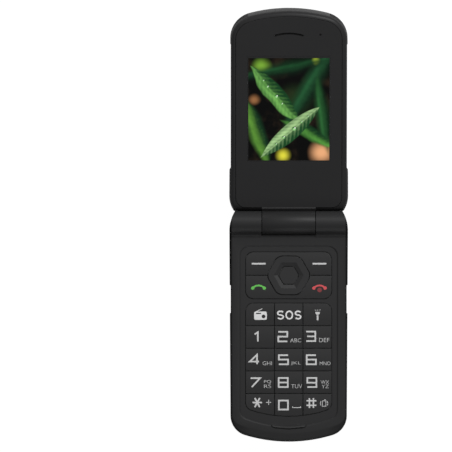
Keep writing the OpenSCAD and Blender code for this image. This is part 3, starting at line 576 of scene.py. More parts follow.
# The picture on the screen, in millimetres from its middle.
# Soft spots: x, y, radius, blur, colour
SPOTS = [
    (-13.5, 21.5, 3.4, 2.8, (0.2, 0.42, 0.04)), (16.5, -22.5, 4.2, 3.6, (0.85, 0.42, 0.2)),
    (13.2, 24.2, 1.7, 1.1, (0.5, 0.62, 0.04)), (-3.0, -24.5, 2.4, 2.2, (0.75, 0.7, 0.05)),
    (3.0, 4.0, 6.0, 5.5, (0.012, 0.03, 0.008)), (-17.0, 5.0, 2.0, 1.7, (0.3, 0.13, 0.05)),
]
# Leaves from back to front: x, y, turn, half length, half width, blur, dark and light colour
LEAVES = [
    (11.5, 13.0, 60, 26, 4.4, 2.2, (0.002, 0.016, 0.006), (0.02, 0.12, 0.04)),
    (-4.0, 20.0, 12, 24, 3.2, 2.4, (0.001, 0.01, 0.004), (0.012, 0.08, 0.025)),
    (17.0, -3.0, 98, 19, 3.4, 1.8, (0.002, 0.02, 0.006), (0.03, 0.16, 0.04)),
    (-16.0, -12.0, 108, 20, 4.2, 1.3, (0.004, 0.03, 0.01), (0.16, 0.42, 0.05)),
    (11.0, -13.0, 152, 16, 3.4, 0.8, (0.004, 0.035, 0.01), (0.12, 0.4, 0.06)),
    (-7.0, 7.5, 130, 19, 4.6, 0.35, (0.005, 0.045, 0.012), (0.26, 0.66, 0.14)),
    (0.5, -12.5, 42, 20, 4.4, 0.12, (0.008, 0.06, 0.016), (0.62, 0.95, 0.42)),
]
# Beads of water: x, y, radius
BEADS = [
    (-10.4, 11.6, 0.7), (-6.2, 6.2, 1.0), (-3.3, 2.6, 0.55), (-2.6, -15.0, 0.8), (2.6, -10.6, 1.15),
    (6.2, -7.2, 0.6), (-12.6, 14.6, 0.45), (9.4, -4.4, 0.45), (-6.4, -18.6, 0.5),
]


class Picture:
    """Leaves and drops in soft focus, painted one over the other."""

    def __init__(self, f, x, y):
        self.f = f
        waver, waver_x, waver_y = f.noise(scale=70.0) - 0.5, 2.0, 3.0
        self.x, self.y = x + waver * waver_x, y + waver * waver_y
        self.grain = f.noise(scale=420.0, detail=4.0, roughness=0.6)
        self.blotch = f.noise(scale=110.0, detail=3.0)
        black, brown = (0.0, 0.0, 0.0), (0.02, 0.012, 0.006)
        self.colour = f.mix(self.blotch.step(low=0.45, high=0.75), black, brown)

    def paint(self, amount, colour):
        self.colour = self.f.mix(amount, self.colour, colour)

    def spot(self, x, y, r, blur, colour):
        u, v = self.x - x, self.y - y
        self.paint(1.0 - (u * u + v * v).root().step(r - blur, r + blur), colour)

    def leaf(self, x, y, turn, length, width, blur, dark, light):
        """Pointed at both ends: one half in the light, with a pale rib and faint side veins."""
        rib_half, edge_soft, vein_u, vein_v, vein, vein_loss = 0.05, 0.25, 2.4, 2.6, 0.07, 0.06
        sheen_at, sheen_wide, sheen_least = width * 0.38, width * 0.45, 0.1
        c, s = cos(radians(turn)), sin(radians(turn))
        u, v = self.x - x, self.y - y
        u, v = u * c + v * s, v * c - u * s
        edge = (1.0 - (u / length) ** 2.0) * width - v.size()
        veins = (u * vein_u + v.size() * vein_v).sine() * max(0.0, vein - blur * vein_loss)
        rib = 1.0 - v.size().step(rib_half, 0.5 + blur)
        sheen = (1.0 - (v - sheen_at).size().step(0.0, sheen_wide)) * (self.blotch * 0.9 - sheen_least)
        tone = veins + rib * 0.22 + sheen + self.grain * 0.3 + (v / width) * 0.2
        self.paint(edge.step(-blur, edge_soft + blur), self.f.mix(tone.most(0.0).least(1.0), dark, light))

    def bead(self, x, y, r):
        """Bead of water: dark rim above, bright below, with a glint."""
        self.spot(x, y, r, blur=0.14, colour=(0.02, 0.12, 0.03))
        self.spot(x - 0.1 * r, y - 0.3 * r, r * 0.6, blur=r * 0.45, colour=(0.38, 0.75, 0.28))
        self.spot(x + 0.3 * r, y + 0.35 * r, r * 0.3, blur=0.08, colour=(1.0, 1.0, 0.92))


def screen_finish(name, border, strength):
    """Lit display behind glossy glass, inside a border of the panel's colour."""
    middle, lit_x, lit_y, lit_shift = 59.2, (20.15, 20.25), (26.5, 26.6), 0.35
    f = Finish(name)
    unlit = (0.004, 0.004, 0.004)
    centre = LID_PLACE @ Vector((0, middle, FACE_W))
    flat = f.node("VectorMath", {0: f.place, 1: tuple(centre)}, operation="SUBTRACT")
    flat = f.node("VectorRotate", {"Vector": flat.outputs[0], "Axis": (1, 0, 0), "Angle": -radians(RISE)},
                  rotation_type="AXIS_ANGLE")
    x, y = [side * IN_MM for side in f.axes(flat.outputs[0])[:2]]
    picture = Picture(f, x, y)
    for spot in SPOTS:
        picture.spot(*spot)
    for leaf in LEAVES:
        picture.leaf(*leaf)
    for bead in BEADS:
        picture.bead(*bead)
    lit = (1.0 - x.size().step(*lit_x)) * (1.0 - (y + lit_shift).size().step(*lit_y))
    f.set(Base_Color=f.mix(lit, border, unlit), Roughness=0.16, Specular_IOR_Level=0.2,
          Emission_Color=f.mix(lit, (0, 0, 0), picture.colour), Emission_Strength=strength)
    return f.material


_finishes = {}


def finish(name):
    """The named finish, made on first use from the colours in the panel."""
    if name not in _finishes:
        c = bpy.context.scene.phone_colours
        makers = {
            "case": lambda: moulded("case_plastic", c.case, specular=0.12),
            # the front housing takes the case colour lightened 1.12 times as painted light, with painted
            # shade on its outer wall
            "front": lambda: moulded("front_case_painted_light_and_shade", shade(c.case, 1.12), specular=0.14, rim=True),
            "cover": lambda: moulded("cover_plastic", c.cover),
            "lid": lambda: moulded("lid_plastic", c.case, roughness=0.48, specular=0.14),
            "rubber": lambda: moulded("bumper_rubber", c.rubber, roughness=0.75, grain=0.00006,
                                      spread=0.14, scale=2600.0, specular=0.08),
            "key": lambda: moulded("key_plastic", c.key, roughness=0.46, grain=0.000012, spread=0.03,
                                   scale=6000.0),
            "side": lambda: moulded("side_key_plastic", c.side_key, roughness=0.48),
            "alarm": lambda: moulded("alarm_key_plastic", c.alarm, roughness=0.4, grain=0.00001,
                                     spread=0.02, specular=0.4),
            "mesh": lambda: moulded("speaker_mesh", (0.004, 0.004, 0.004), roughness=0.7, grain=0.0001,
                                    spread=0.3, scale=3000.0),
            "board": lambda: moulded("board_lacquer", (0.01, 0.07, 0.035), roughness=0.35, spread=0.15,
                                     scale=1500.0, specular=0.5),
            "silicone": lambda: moulded("silicone_pad", (0.06, 0.06, 0.062), roughness=0.65, spread=0.06,
                                        scale=3000.0),
            "gasket": lambda: moulded("seal_rubber", (0.02, 0.02, 0.022), roughness=0.7, spread=0.1,
                                      scale=2500.0),
            "panel": lambda: gloss("face_panel_gloss", c.panel, 0.16),
            "bezel": lambda: gloss("bezel_gloss", (0.006, 0.006, 0.006), 0.2),
            "pane": lambda: gloss("camera_pane_glass", (0.036, 0.037, 0.039), 0.1),
            "lens": lambda: gloss("camera_lens_glass", (0.004, 0.004, 0.007), 0.05, coat=0.6),
            "torch_core": lambda: gloss("torch_diode", (0.7, 0.6, 0.18), 0.3),
            "wrap": lambda: gloss("battery_wrap", (0.05, 0.055, 0.07), 0.3),
            "film": lambda: gloss("ribbon_film", (0.4, 0.17, 0.03), 0.28),
            "dome": lambda: gloss("dome_sheet_film", (0.5, 0.5, 0.46), 0.3),
            "legend": lambda: printed("legend_ink", c.legend),
            "bright_legend": lambda: printed("bright_legend_ink", shade(c.legend, 1.25)),
            "dark_ink": lambda: printed("dark_legend_ink", (0.05, 0.022, 0.012)),
            "call": lambda: printed("call_legend_ink", c.call),
            "end": lambda: printed("end_legend_ink", c.end),
            "end_ring": lambda: printed("end_ring_ink", shade(c.end, 0.35)),
            "screen": lambda: screen_finish("lit_screen", tuple(c.panel), c.glow),
            "torch": lambda: torch_finish("torch_lens_plastic"),
            "gold": lambda: metal("gold_plate", (1.0, 0.72, 0.45), 0.32),
            "steel": lambda: metal("bright_steel", (0.55, 0.55, 0.57), 0.3, brushed=(1, 14, 1)),
            "dark_steel": lambda: metal("blackened_steel", (0.03, 0.03, 0.032), 0.45),
            "display": lambda: metal("display_back", (0.5, 0.52, 0.55), 0.4),
        }
        _finishes[name] = makers[name]()
    return _finishes[name]


# ---- case ----

KEY_HOLE, KEY_CORNER, KEY_BOW, WALL_GAP, FRONT_ROUND, RIM_ROUND = 0.18, 4, 60, 0.08, 1.4, 0.3
# Rooms inside the shells: half width, from and to below the hinge, corner radius
FRONT_ROOM, REAR_ROOM, BATTERY_ROOM = (23, 9, 100, 3), (20, 9, 98, 3), (17.75, 50.15, 91.45, 1)
REAR_ROOM_Z, BATTERY_Z, COVER_Z, COVER_T, COVER_ROUND = 6.6, 5.9, 1.3, 1.2, 0.6
NAIL_R, NAIL_HALF, NAIL_Y = 2.4, 4, 1
FILLET = [(-2.0, 16.6), (-5.1, 15.25), (-5.5, 14.5), (-5.85, 13.8), (-6.2, 13.25), (-6.65, 12.82),
          (-7.15, 12.55), (-7.9, 12.36), (-7.9, 10.5), (-2.0, 10.5)]
NOTCH = [(28.95, -31.4), (34, -29.1), (34, -47.5), (28.95, -45.2)]
CHANNEL = [(24.4, -27.9), (31, -31.2), (31, -45.4), (24.4, -48.7)]
COVER_SIDE = [(22.7, -30), (23.1, -48), (22.9, -79)]
COVER_FOOT = [(21.4, -88.5), (18.4, -92.6), (15.6, -94.4)]
GROOVE = [(0, -100.9), (7.4, -100.55), (8.45, -100.75), (8.75, -101.4), (8.4, -102.3), (7.6, -102.75),
          (0, -103.4)]
LIP = [(0, -99.5), (9.5, -99.5), (8.35, -101.6), (7.95, -102.1), (7.4, -102.3), (0, -102.9)]


def front_shell():
    """Front half of the base with its two hinge knuckles, dish, key wells and thumb dip."""
    knuckle_end = raised(front_outline(WALL_GAP, BARREL_R + 1), 0, ABOVE)
    knuckles = [combined(side, ("INTERSECT", knuckle_end))
                for side in both(barrel(BARREL_R, KNUCKLE + KNUCKLE_GAP, HALF_W + 1, z=AXIS_Z))]
    middle = KNUCKLE + KNUCKLE_GAP
    bore_r, bore_from, bore_to = 3.62, -KNUCKLE - 10.2, KNUCKLE + 8.5
    solid = combined(
        raised(front_outline(), SEAM, BASE_T, top=FRONT_ROUND, steps=6),
        ("UNION", knuckles),
        ("UNION", both(knuckle_fillet())),
        ("DIFFERENCE", barrel(BARREL_R + BARREL_CLEAR, -middle, middle, z=AXIS_Z)),
        ("DIFFERENCE", dish()),
        ("DIFFERENCE", pocket(PAD_HALF + KEY_HOLE, UPPER_FROM - KEY_HOLE, UPPER_TO + KEY_HOLE,
                              KEY_CORNER, UNDER_FRONT, ABOVE)),
        ("DIFFERENCE", raised(lower_block(KEY_HOLE), UNDER_FRONT, ABOVE)),
        ("DIFFERENCE", thumb_dip()),
        ("DIFFERENCE", both(raised(polygon(NOTCH), UNDER_FRONT, ABOVE))),
        ("DIFFERENCE", pocket(*FRONT_ROOM, UNDER_FRONT, PLATE_Z)),
        ("DIFFERENCE", barrel(bore_r, bore_from, bore_to, 48, z=AXIS_Z)),
        ("DIFFERENCE", lanyard_hole()),
    )
    return bevelled(solid, dish_rim(solid), RIM_ROUND, 5)


DISH_HALF, DISH_ABOVE, DISH_FOOT, DISH_WALL, FLATTENED = 24.65, 3.1, 5.5, 0.62, 0.85


def dish():
    """Cutter for the shallow dish round the keypad, with a sloped wall."""
    outline = bowed_block(DISH_HALF, UPPER_FROM - DISH_ABOVE, LOWER_TO + DISH_FOOT, KEY_CORNER + 1, KEY_BOW)
    return moved(raised(outline, 0, 12, bottom=DISH_WALL, steps=1),
                 Matrix.Translation((0, 0, DISH_Z)) @ Matrix.Diagonal((1, 1, FLATTENED, 1)))


def dish_rim(solid):
    """The dish's upper edge, down both sides and across the foot."""
    wall_least, wall_most, within, below = 0.3, 0.9, 24.8, -11
    return [e for e in rim(solid, BASE_T)
            if any(wall_least < f.normal.z < wall_most for f in e.link_faces)
            and all(abs(v.co.x) < within and v.co.y < below for v in e.verts)]


def knuckle_fillet():
    """Cove that leads from the front face up to one outer knuckle."""
    return combined(along(FILLET, KNUCKLE + KNUCKLE_GAP, HALF_W),
                    ("INTERSECT", raised(front_outline(0.5, BARREL_R + 1), 0, ABOVE)))


def lower_block(grow):
    """Outline of the lower keys."""
    return bowed_block(PAD_HALF + grow, LOWER_FROM - grow, LOWER_TO + grow, KEY_CORNER + grow,
                       KEY_BOW + grow)


def thumb_dip():
    """Groove round a small lip for the thumb, below the keys."""
    groove_depth, lip_depth, lip_tilt, lip_foot = 0.7, 0.02, -16, -102.4
    hinge = Matrix.Translation((0, lip_foot, BASE_T))
    tilt = hinge @ Matrix.Rotation(radians(lip_tilt), 4, "X") @ hinge.inverted()
    lip = moved(raised(half_path(*LIP), BASE_T - 4, BASE_T - lip_depth, top=0.2, steps=2), tilt)
    return combined(raised(half_path(*GROOVE), BASE_T - groove_depth, BASE_T + 2), ("DIFFERENCE", lip))


def in_thumb_dip(at):
    """The small lip keeps its own edges."""
    half, top = 9.2, -98
    return abs(at.x) < half and at.y < top and at.z > SEAM + 1


def lanyard_hole():
    """Bore from the back to the side of one knuckle."""
    x, y, r, half_long, z = -26, 1.1, 1, 1.65, 9.6
    slot = raised(rectangle(x - r, y - half_long, x + r, y + half_long, r - 0.01, 6), BELOW, z + r)
    return [slot, barrel(r, -BEYOND, x, 32, y=y, z=z)]


def rear_form(inset):
    """The keypad half's back, or the same further in."""
    back, sink, round_r, tighter = 0.5, 0.8, 3.2, 0.2
    return raised(rear_outline(inset), back + sink * inset, SEAM, bottom=round_r - tighter * inset, steps=8)


def cover_outline(grow=0.0):
    """Battery cover: from under the hinge down to the bottom edge."""
    top_half, end_half, short = 20 + grow, 17.2 + grow, 1.25
    end_r, centre = END_BOW - short + grow, END_BOW - BASE_END
    turn = asin(end_half / end_r)
    return half_path((0, grow), (top_half, grow), *[(x + grow, y) for x, y in COVER_SIDE],
                     *[(x + grow, y - grow) for x, y in COVER_FOOT],
                     (end_half, centre - end_r * cos(turn)), (0, centre, -degrees(turn), 10))


def side_channels():
    """Openings for the side keys, slanted at both ends."""
    return both(raised(polygon(CHANNEL), BELOW, SEAM + 0.6))


def rear_pocket():
    """Room for the battery cover in the back."""
    return raised(cover_outline(0.2), BELOW, COVER_Z)


def turned_barrel():
    return barrel(BARREL_R + BARREL_CLEAR, -BEYOND, BEYOND, z=AXIS_Z)


def under_hinge():
    """Where the back reaches up behind the barrel."""
    return block(-20, 20, -4, 1, 0, SEAM)


def back_shell():
    """Back half of the base, thinner where rubber covers it."""
    (x, y), half, camera_z = LENS_AT, 4.15, 1.5
    return combined(
        rear_form(SKIN), ("UNION", combined(rear_form(0), ("INTERSECT", under_hinge()))),
        ("DIFFERENCE", turned_barrel()), ("DIFFERENCE", rear_pocket()),
        ("DIFFERENCE", side_channels()), ("DIFFERENCE", barrel(NAIL_R, -NAIL_HALF, NAIL_HALF, 48, y=NAIL_Y)),
        ("DIFFERENCE", pocket(*REAR_ROOM, REAR_ROOM_Z, ABOVE)),
        ("DIFFERENCE", pocket(*BATTERY_ROOM, BELOW, BATTERY_Z)),
        ("DIFFERENCE", raised(alarm_outline(BACK_GAP), BELOW, ALARM_WELL)),
        ("DIFFERENCE", block(x - half, x + half, y - half, y + half, camera_z, ABOVE)),
        ("DIFFERENCE", raised(disc(x, y, LENS_HOLE), BELOW, ABOVE)),
        ("DIFFERENCE", raised(disc(*TORCH_AT, TORCH_HOLE), BELOW, TORCH_WELL)),
        ("DIFFERENCE", [raised(disc(*at, PIN_R + PIN_GAP), BELOW, ABOVE) for at in CONTACTS_AT]),
        ("DIFFERENCE", lanyard_hole()),
    )


def bumper(y0, y1):
    """Rubber over the back corners between two heights down the side."""
    return combined(
        rear_form(0), ("INTERSECT", block(-BEYOND, BEYOND, y0, y1, 0, SEAM - 0.05)),
        ("DIFFERENCE", rear_form(SKIN)), ("DIFFERENCE", under_hinge()),
        ("DIFFERENCE", turned_barrel()), ("DIFFERENCE", rear_pocket()), ("DIFFERENCE", side_channels()),
    )


UPPER_RUBBER, LOWER_RUBBER = (-34.1, 5), (-115, -40.5)


def corner_grooves():
    """Slanted grooves across the lower corners."""
    x, y, turn, half_wide, depth = 20.6, -92.7, -47, 0.3, 1.3
    groove = raised(rectangle(-1, -half_wide, 12, half_wide), BELOW, depth)
    return both(moved(groove, Matrix.Translation((x, y, 0)) @ Matrix.Rotation(radians(turn), 4, "Z")))


# ---- back ----

ISLAND = [(18.3, -3.1), (6.6, -3.1), (6.6, -18.9), (15.9, -25.4), (19.3, -23.7)]
PANE = [(17.4, -4.8), (7.7, -4.8), (8.2, -12.6), (17.9, -15.9)]
ALARM = [(18.4, -17), (8.3, -13.7), (8.7, -19.2), (17.3, -24.7), (19, -23.3)]
DIAMOND = [(0, -52.2), (18.9, -38.8), (0, -25.7), (-18.9, -38.8)]
LENS_HOLE, LENS_R, PUPIL_R, TORCH_HOLE, TORCH_WELL, PIN_R, PIN_GAP = 2.8, 1.9, 0.55, 2.75, 3.1, 1.7, 0.02
ISLAND_CORNER, PANE_CORNER, ALARM_CORNER, DIAMOND_CORNER = 1.2, 0.6, 0.7, 1.2
BACK_GAP, ALARM_WELL, DIAMOND_DEPTH, DIAMOND_WALL = 0.3, 3.6, 0.5, 0.45
# Lower and upper faces of the small pieces on the back, and the rounding of their edges
PANE_Z, LENS_Z, PUPIL_Z, ALARM_Z, PIN_Z = (0.3, 1.2), (0.24, 0.32), (0.2, 0.3), (0.35, 2.95), (0.1, 6)
PANE_GAP, PANE_EDGE, ALARM_EDGE, PIN_EDGE, COVER_EDGE = 0.05, 0.15, 0.3, 0.25, 0.08
VOLUME_X, FLAP_X, SIDE_EDGE = 24.75, 24.7, 0.1
# Sunk panels of the cover: corners and how deep each one lies
FIELDS = [([(4.6, -3.5), (22.6, -3.5), (23.4, -34.0), (4.6, -20.5)], (0.25, 0.02, 0.02, 1.0)),
          ([(4.5, -57.3), (23.7, -44.0), (22.6, -89), (4.5, -93)], (1.0, 0.02, 0.02, 0.2))]
# The word on the alarm key: letters with their middles, then half width, half height and stroke
ALARM_WORD, ALARM_LETTER = (("S", -2.85), ("O", 0), ("S", 2.85)), (1.2, 1.55, 0.72)


def island_outline(grow=0.0):
    return grown(polygon(ISLAND, ISLAND_CORNER, 6), grow)


def pane_outline(grow=0.0):
    return grown(polygon(PANE, PANE_CORNER), grow)


def alarm_outline(grow=0.0):
    return grown(polygon(ALARM, ALARM_CORNER), grow)


def sunk_field(corners, depths):
    """Cutter for a panel that is deepest at one corner and fades to the others, with sloped walls."""
    foot, slope = -6, 1.0
    bm = polygon(corners)
    for v, depth in zip(bm.verts, depths):
        v.co.z = depth
    for v in pulled_up(bm, foot):
        v.co.z = foot
    bmesh.ops.recalc_face_normals(bm, faces=bm.faces[:])
    return bevelled(bm, [e for e in bm.edges if all(v.co.z > foot / 2 for v in e.verts)], slope, 1)


def battery_cover_solid():
    fields = [side for field in FIELDS for side in both(sunk_field(*field))]
    return combined(
        raised(cover_outline(), 0, COVER_T, bottom=COVER_ROUND, steps=5),
        ("DIFFERENCE", fields),
        ("DIFFERENCE", raised(polygon(DIAMOND, DIAMOND_CORNER, 6), BELOW, DIAMOND_DEPTH,
                              top=DIAMOND_WALL, steps=1)),
        ("DIFFERENCE", raised(island_outline(0.1), BELOW, 3)),
        ("DIFFERENCE", raised(disc(*TORCH_AT, TORCH_HOLE + 0.2), BELOW, 3)),
        ("DIFFERENCE", [raised(disc(*at, PIN_R + BACK_GAP), BELOW, 3) for at in CONTACTS_AT]),
        ("DIFFERENCE", barrel(NAIL_R - 0.2, -NAIL_HALF + 0.9, NAIL_HALF - 0.9, 48, y=NAIL_Y)),
    )


def camera_surround():
    low, high, edge = 0.15, 1.25, 0.25
    return combined(raised(island_outline(-BACK_GAP), low, high, bottom=edge, steps=3),
                    ("DIFFERENCE", raised(pane_outline(), BELOW, 3)),
                    ("DIFFERENCE", raised(alarm_outline(BACK_GAP), BELOW, 3)))


def alarm_word():
    """Raised letters on the alarm key, along its slant and read from the back."""
    half_w, half_h, stroke = ALARM_LETTER
    letters = [mark(letter, x - half_w, -half_h, x + half_w, half_h, stroke) for letter, x in ALARM_WORD]
    middle, slant = (13.3, -18.75, 0.38), 19
    return moved(gathered(*letters), Matrix.Translation(middle) @ Matrix.Rotation(pi, 4, "Y")
                 @ Matrix.Rotation(radians(slant), 4, "Z"))


def torch_dome():
    """Flattened lens over the torch."""
    z, flatness, gap = 1.1, 0.3, 0.1
    dome = bmesh.new()
    bmesh.ops.create_uvsphere(dome, u_segments=48, v_segments=24, radius=TORCH_HOLE - gap)
    return moved(dome, Matrix.Translation((*TORCH_AT, z)) @ Matrix.Diagonal((1, 1, flatness, 1)))


def side_key(x):
    """Long key with slanted ends on the side."""
    foot, lower, upper, top, low_z, gap, corner = -44.3, -43.1, -33.5, -32.3, 2.3, 0.4, 0.3
    end_x, out_x = x + 1.7, x + 2.4
    outline = [(x, foot), (end_x, foot), (out_x, lower), (out_x, upper), (end_x, top), (x, top)]
    return raised(polygon(outline, corner, 3), low_z, SEAM - gap, top=corner, bottom=0.5, steps=3)


def volume_key(x):
    """Side key with a round dip for the finger in its middle."""
    dip_x, dip_y, dip_r = x + 3.6, -38.3, 1.5
    dip = raised(disc(dip_x, dip_y, dip_r), 0, SEAM + 1)
    return both(combined(side_key(x), ("DIFFERENCE", dip)))[1]


# ---- keys ----

KEY_GAP, HALF_GAP, PAD_GAP, CROWN = 0.12, 0.13, 0.05, 0.36
# Navigation ring and centre key: width over the flats to the radius of the corners, rounding circle
TO_CORNER = 1 / cos(radians(30))
RING_R, OK_R = 19.1 / 2 * TO_CORNER, 8.7 / 2 * TO_CORNER
RING_ROUND, OK_ROUND, RING_GAP, OK_GAP = 10.25, OK_R * 0.955, 0.35, 0.3
FACET_DEPTH, FACET_SINK, FACET_FROM, FACET_REACH, FACET_TURN = 0.7, 0.6, 0.35, 2.45, 12.0
OK_SUNK, OK_EDGE = 0.5, 0.15


def cut_all(bm, at, normal, **clear):
    bmesh.ops.bisect_plane(bm, geom=bm.verts[:] + bm.edges[:] + bm.faces[:], plane_co=at, plane_no=normal,
                           **clear)


def strips(bm, low, high, count=9):
    """Cuts a mesh into even strips from top to bottom, so that it can be crowned."""
    for i in range(1, count):
        cut_all(bm, (0, low + (high - low) * i / count, 0), (0, 1, 0))


def trimmed(bm, x0=None, x1=None, y0=None, y1=None):
    """Keeps the part of a flat face between straight cuts."""
    for at, normal in (((x0, 0, 0), (-1, 0, 0)), ((x1, 0, 0), (1, 0, 0)),
                       ((0, y0, 0), (0, -1, 0)), ((0, y1, 0), (0, 1, 0))):
        if None not in at:
            cut_all(bm, at, normal, clear_outer=True)
    return bm


def span(bm):
    """Lowest and highest y of an outline."""
    ys = [v.co.y for v in bm.verts]
    return min(ys), max(ys)


def crown_drop(y, low, high):
    """How far a crowned key lies below its top at y."""
    t = 2 * (y - low) / (high - low) - 1
    return CROWN * t * t


KEY_EDGE = 0.22


def cap(bm, soft=KEY_EDGE):
    """Key cap from a flat outline: crowned from top to bottom, with rounded edges."""
    low, high = span(bm)
    strips(bm, low, high)
    bmesh.ops.translate(bm, verts=bm.verts[:], vec=(0, 0, KEY_Z))
    upper = set(pulled_up(bm, KEY_TOP - KEY_Z))
    for v in upper:
        v.co.z -= crown_drop(v.co.y, low, high)
    bmesh.ops.recalc_face_normals(bm, faces=bm.faces[:])
    edge = [e for e in bm.edges if e.verts[0] in upper and e.verts[1] in upper
            and min(f.normal.z for f in e.link_faces) < 0.5]
    return bevelled(bm, edge, soft, 3)


def key_cell(i):
    """Outline of one of the fifteen lower keys."""
    column, row, last_row = i % 3, i // 3, 4
    edges = (-PAD_HALF, -COLUMN, COLUMN, PAD_HALF)
    top = -LOWER_FROM - row * ROW
    return trimmed(lower_block(-PAD_GAP),
                   x0=edges[column] + KEY_GAP if column > 0 else None,
                   x1=edges[column + 1] - KEY_GAP if column < 2 else None,
                   y0=top - ROW + KEY_GAP if row < last_row else None,
                   y1=top - KEY_GAP if row > 0 else None)


def hexagon(r, round_r, grow=0.0):
    """Six-sided outline with a corner to each side, its corners cut by a circle."""
    cut_share, least_cut = 3.2, 0.05
    a = r + grow * TO_CORNER
    bm = bmesh.new()
    bmesh.ops.create_circle(bm, cap_ends=True, segments=6, radius=a)
    moved(bm, Matrix.Translation((0, -NAV_AT, 0)) @ Matrix.Rotation(pi / 2, 4, "Z"))
    cut = (a - (round_r + grow)) * cut_share
    return bevelled(bm, bm.verts[:], cut, 7, "VERTICES") if cut > least_cut else bm


def pair_bar(y0=None, y1=None):
    """Cap of two keys that reaches round the navigation ring."""
    half = PAD_HALF - PAD_GAP
    outline = rectangle(-half, PAD_GAP - UPPER_TO, half, -UPPER_FROM - PAD_GAP, KEY_CORNER - PAD_GAP, 8)
    ring = raised(hexagon(RING_R, RING_ROUND, RING_GAP), UNDER_FRONT, ABOVE)
    return combined(cap(trimmed(outline, y0=y0, y1=y1)), ("DIFFERENCE", ring))


def nav_ring_solid():
    """Navigation ring with six facets that fall to the centre key."""
    inner_r, recess, edge, under, over = OK_R + FACET_FROM, 3.2, 0.25, 0.5, 0.45
    slope = bmesh.new()
    bmesh.ops.create_cone(slope, cap_ends=True, segments=6, radius1=inner_r,
                          radius2=inner_r + FACET_REACH, depth=FACET_DEPTH)
    moved(slope, Matrix.Translation((0, -NAV_AT, KEY_TOP - FACET_SINK + FACET_DEPTH / 2))
          @ Matrix.Rotation(pi / 2, 4, "Z"))
    return combined(
        raised(hexagon(RING_R, RING_ROUND), KEY_Z, KEY_TOP, top=edge, steps=8),
        ("DIFFERENCE", slope),
        ("DIFFERENCE", raised(hexagon(OK_R, OK_ROUND, OK_GAP), UNDER_FRONT, ABOVE)),
        ("DIFFERENCE", raised(hexagon(OK_R + recess, OK_ROUND + 3), KEY_Z - under, KEY_Z + over)))


# ---- legends ----

GLYPHS = {
    "1": [[(0, .76), (.72, 1), (.72, 0)]],
    "2": [[(0, 1), (1, 1), (1, .5), (0, .5), (0, 0), (1, 0)]],
    "3": [[(0, 1), (1, 1), (1, 0), (0, 0)], [(.1, .5), (1, .5)]],
    "4": [[(.78, 0), (.78, 1), (0, .28), (1, .28)]],
    "5": [[(1, 1), (0, 1), (0, .52), (1, .52), (1, 0), (0, 0)]],
    "6": [[(1, 1), (0, 1), (0, 0), (1, 0), (1, .52), (0, .52)]],
    "7": [[(0, 1), (1, 1), (.12, 0)]],
    "8": [[(0, 0), (1, 0), (1, 1), (0, 1), (0, 0)], [(0, .5), (1, .5)]],
    "9": [[(1, .48), (0, .48), (0, 1), (1, 1), (1, 0), (0, 0)]],
    "0": [[(0, 0), (1, 0), (1, 1), (0, 1), (0, 0)]],
    "#": [[(.3, 0), (.3, 1)], [(.7, 0), (.7, 1)], [(0, .27), (1, .27)], [(0, .73), (1, .73)]],
    "*": [[(0, .5), (1, .5)], [(.24, .04), (.76, .96)], [(.24, .96), (.76, .04)]],
    "+": [[(0, .5), (1, .5)], [(.5, 0), (.5, 1)]],
    "O": [[(1, .5), (.5, .5, 360, 32)]],
    "S": [[(.727, .856), (.5, .75, 245, 18), (.5, .25, -245, 18)]],
    "space": [[(0, 1), (0, 0), (1, 0), (1, 1)]],
    "handset": [[(0, 0), (.12, .55), (.29, .88), (.5, 1), (.71, .88), (.88, .55), (1, 0)]],
    "shake": [[(.26, 0), (.74, 0), (.74, .82), (.26, .82), (.26, 0)], [(.06, .12), (0, .45), (.08, .8)],
              [(.94, .12), (1, .45), (.92, .8)], [(.5, 1), (.72, 1)]],
    "rays": [[(0, 1), (.25, .1)], [(.5, 1), (.5, 0)], [(1, 1), (.75, .1)]],
}
# Box of each mark as left, bottom, right, top from the middle and the hinge axis, then its stroke
MARKS = {
    "sos_key": [("S", -5.85, -48.45, -2.3, -43.95, 0.74), ("O", -1.65, -48.45, 2.25, -43.95, 0.74),
                ("S", 3.0, -48.45, 6.35, -43.95, 0.74)],
    "key_1": [("1", -17.4, -59.77, -15.0, -54.38, 0.8)],
    "key_2": [("2", -5.6, -59.77, -0.3, -54.18, 0.8)],
    "key_3": [("3", 8.35, -59.62, 13.7, -54.08, 0.8)],
    "key_4": [("4", -19.8, -71.15, -14.4, -65.66, 0.8)],
    "key_5": [("5", -5.3, -71.20, 0.1, -65.86, 0.8)],
    "key_6": [("6", 8.6, -71.20, 14.0, -65.86, 0.8)],
    "key_7": [("7", -19.4, -82.62, -13.9, -77.33, 0.8)],
    "key_8": [("8", -5.4, -82.57, -0.05, -77.23, 0.8)],
    "key_9": [("9", 8.9, -82.57, 14.25, -77.23, 0.8)],
    "star_key": [("*", -18.5, -92.60, -12.9, -87.21, 0.8), ("+", -11.4, -91.20, -8.6, -88.41, 0.3)],
    "key_0": [("0", -5.3, -93.80, 0.05, -88.51, 0.8), ("space", 1.8, -92.60, 6.1, -91.70, 0.35)],
    "hash_key": [("#", 8.5, -93.00, 14.2, -87.31, 0.72), ("shake", 15.7, -91.90, 19.7, -88.31, 0.28)],
    "torch_key": [("rays", 12.95, -44.25, 15.95, -43.35, 0.18)],
}
# Small letters beside the digits: text, left, bottom, right, top
LETTERS = {
    "key_2": [("ABC", 0.75, -59.82, 6.25, -57.88)], "key_3": [("DEF", 15.2, -59.67, 20.3, -57.68)],
    "key_4": [("GHI", -13.0, -71.25, -8.4, -69.35)], "key_5": [("JKL", 1.1, -71.25, 6.1, -69.45)],
    "key_6": [("MNO", 15.5, -71.25, 20.9, -69.45)],
    "key_7": [("PQ", -12.3, -80.43, -8.8, -78.73), ("RS", -12.3, -82.62, -8.8, -80.93)],
    "key_8": [("TUV", 1.3, -82.72, 6.7, -80.83)],
    "key_9": [("WX", 16.0, -80.53, 20.1, -78.83), ("YZ", 16.5, -82.72, 20.0, -81.03)],
}
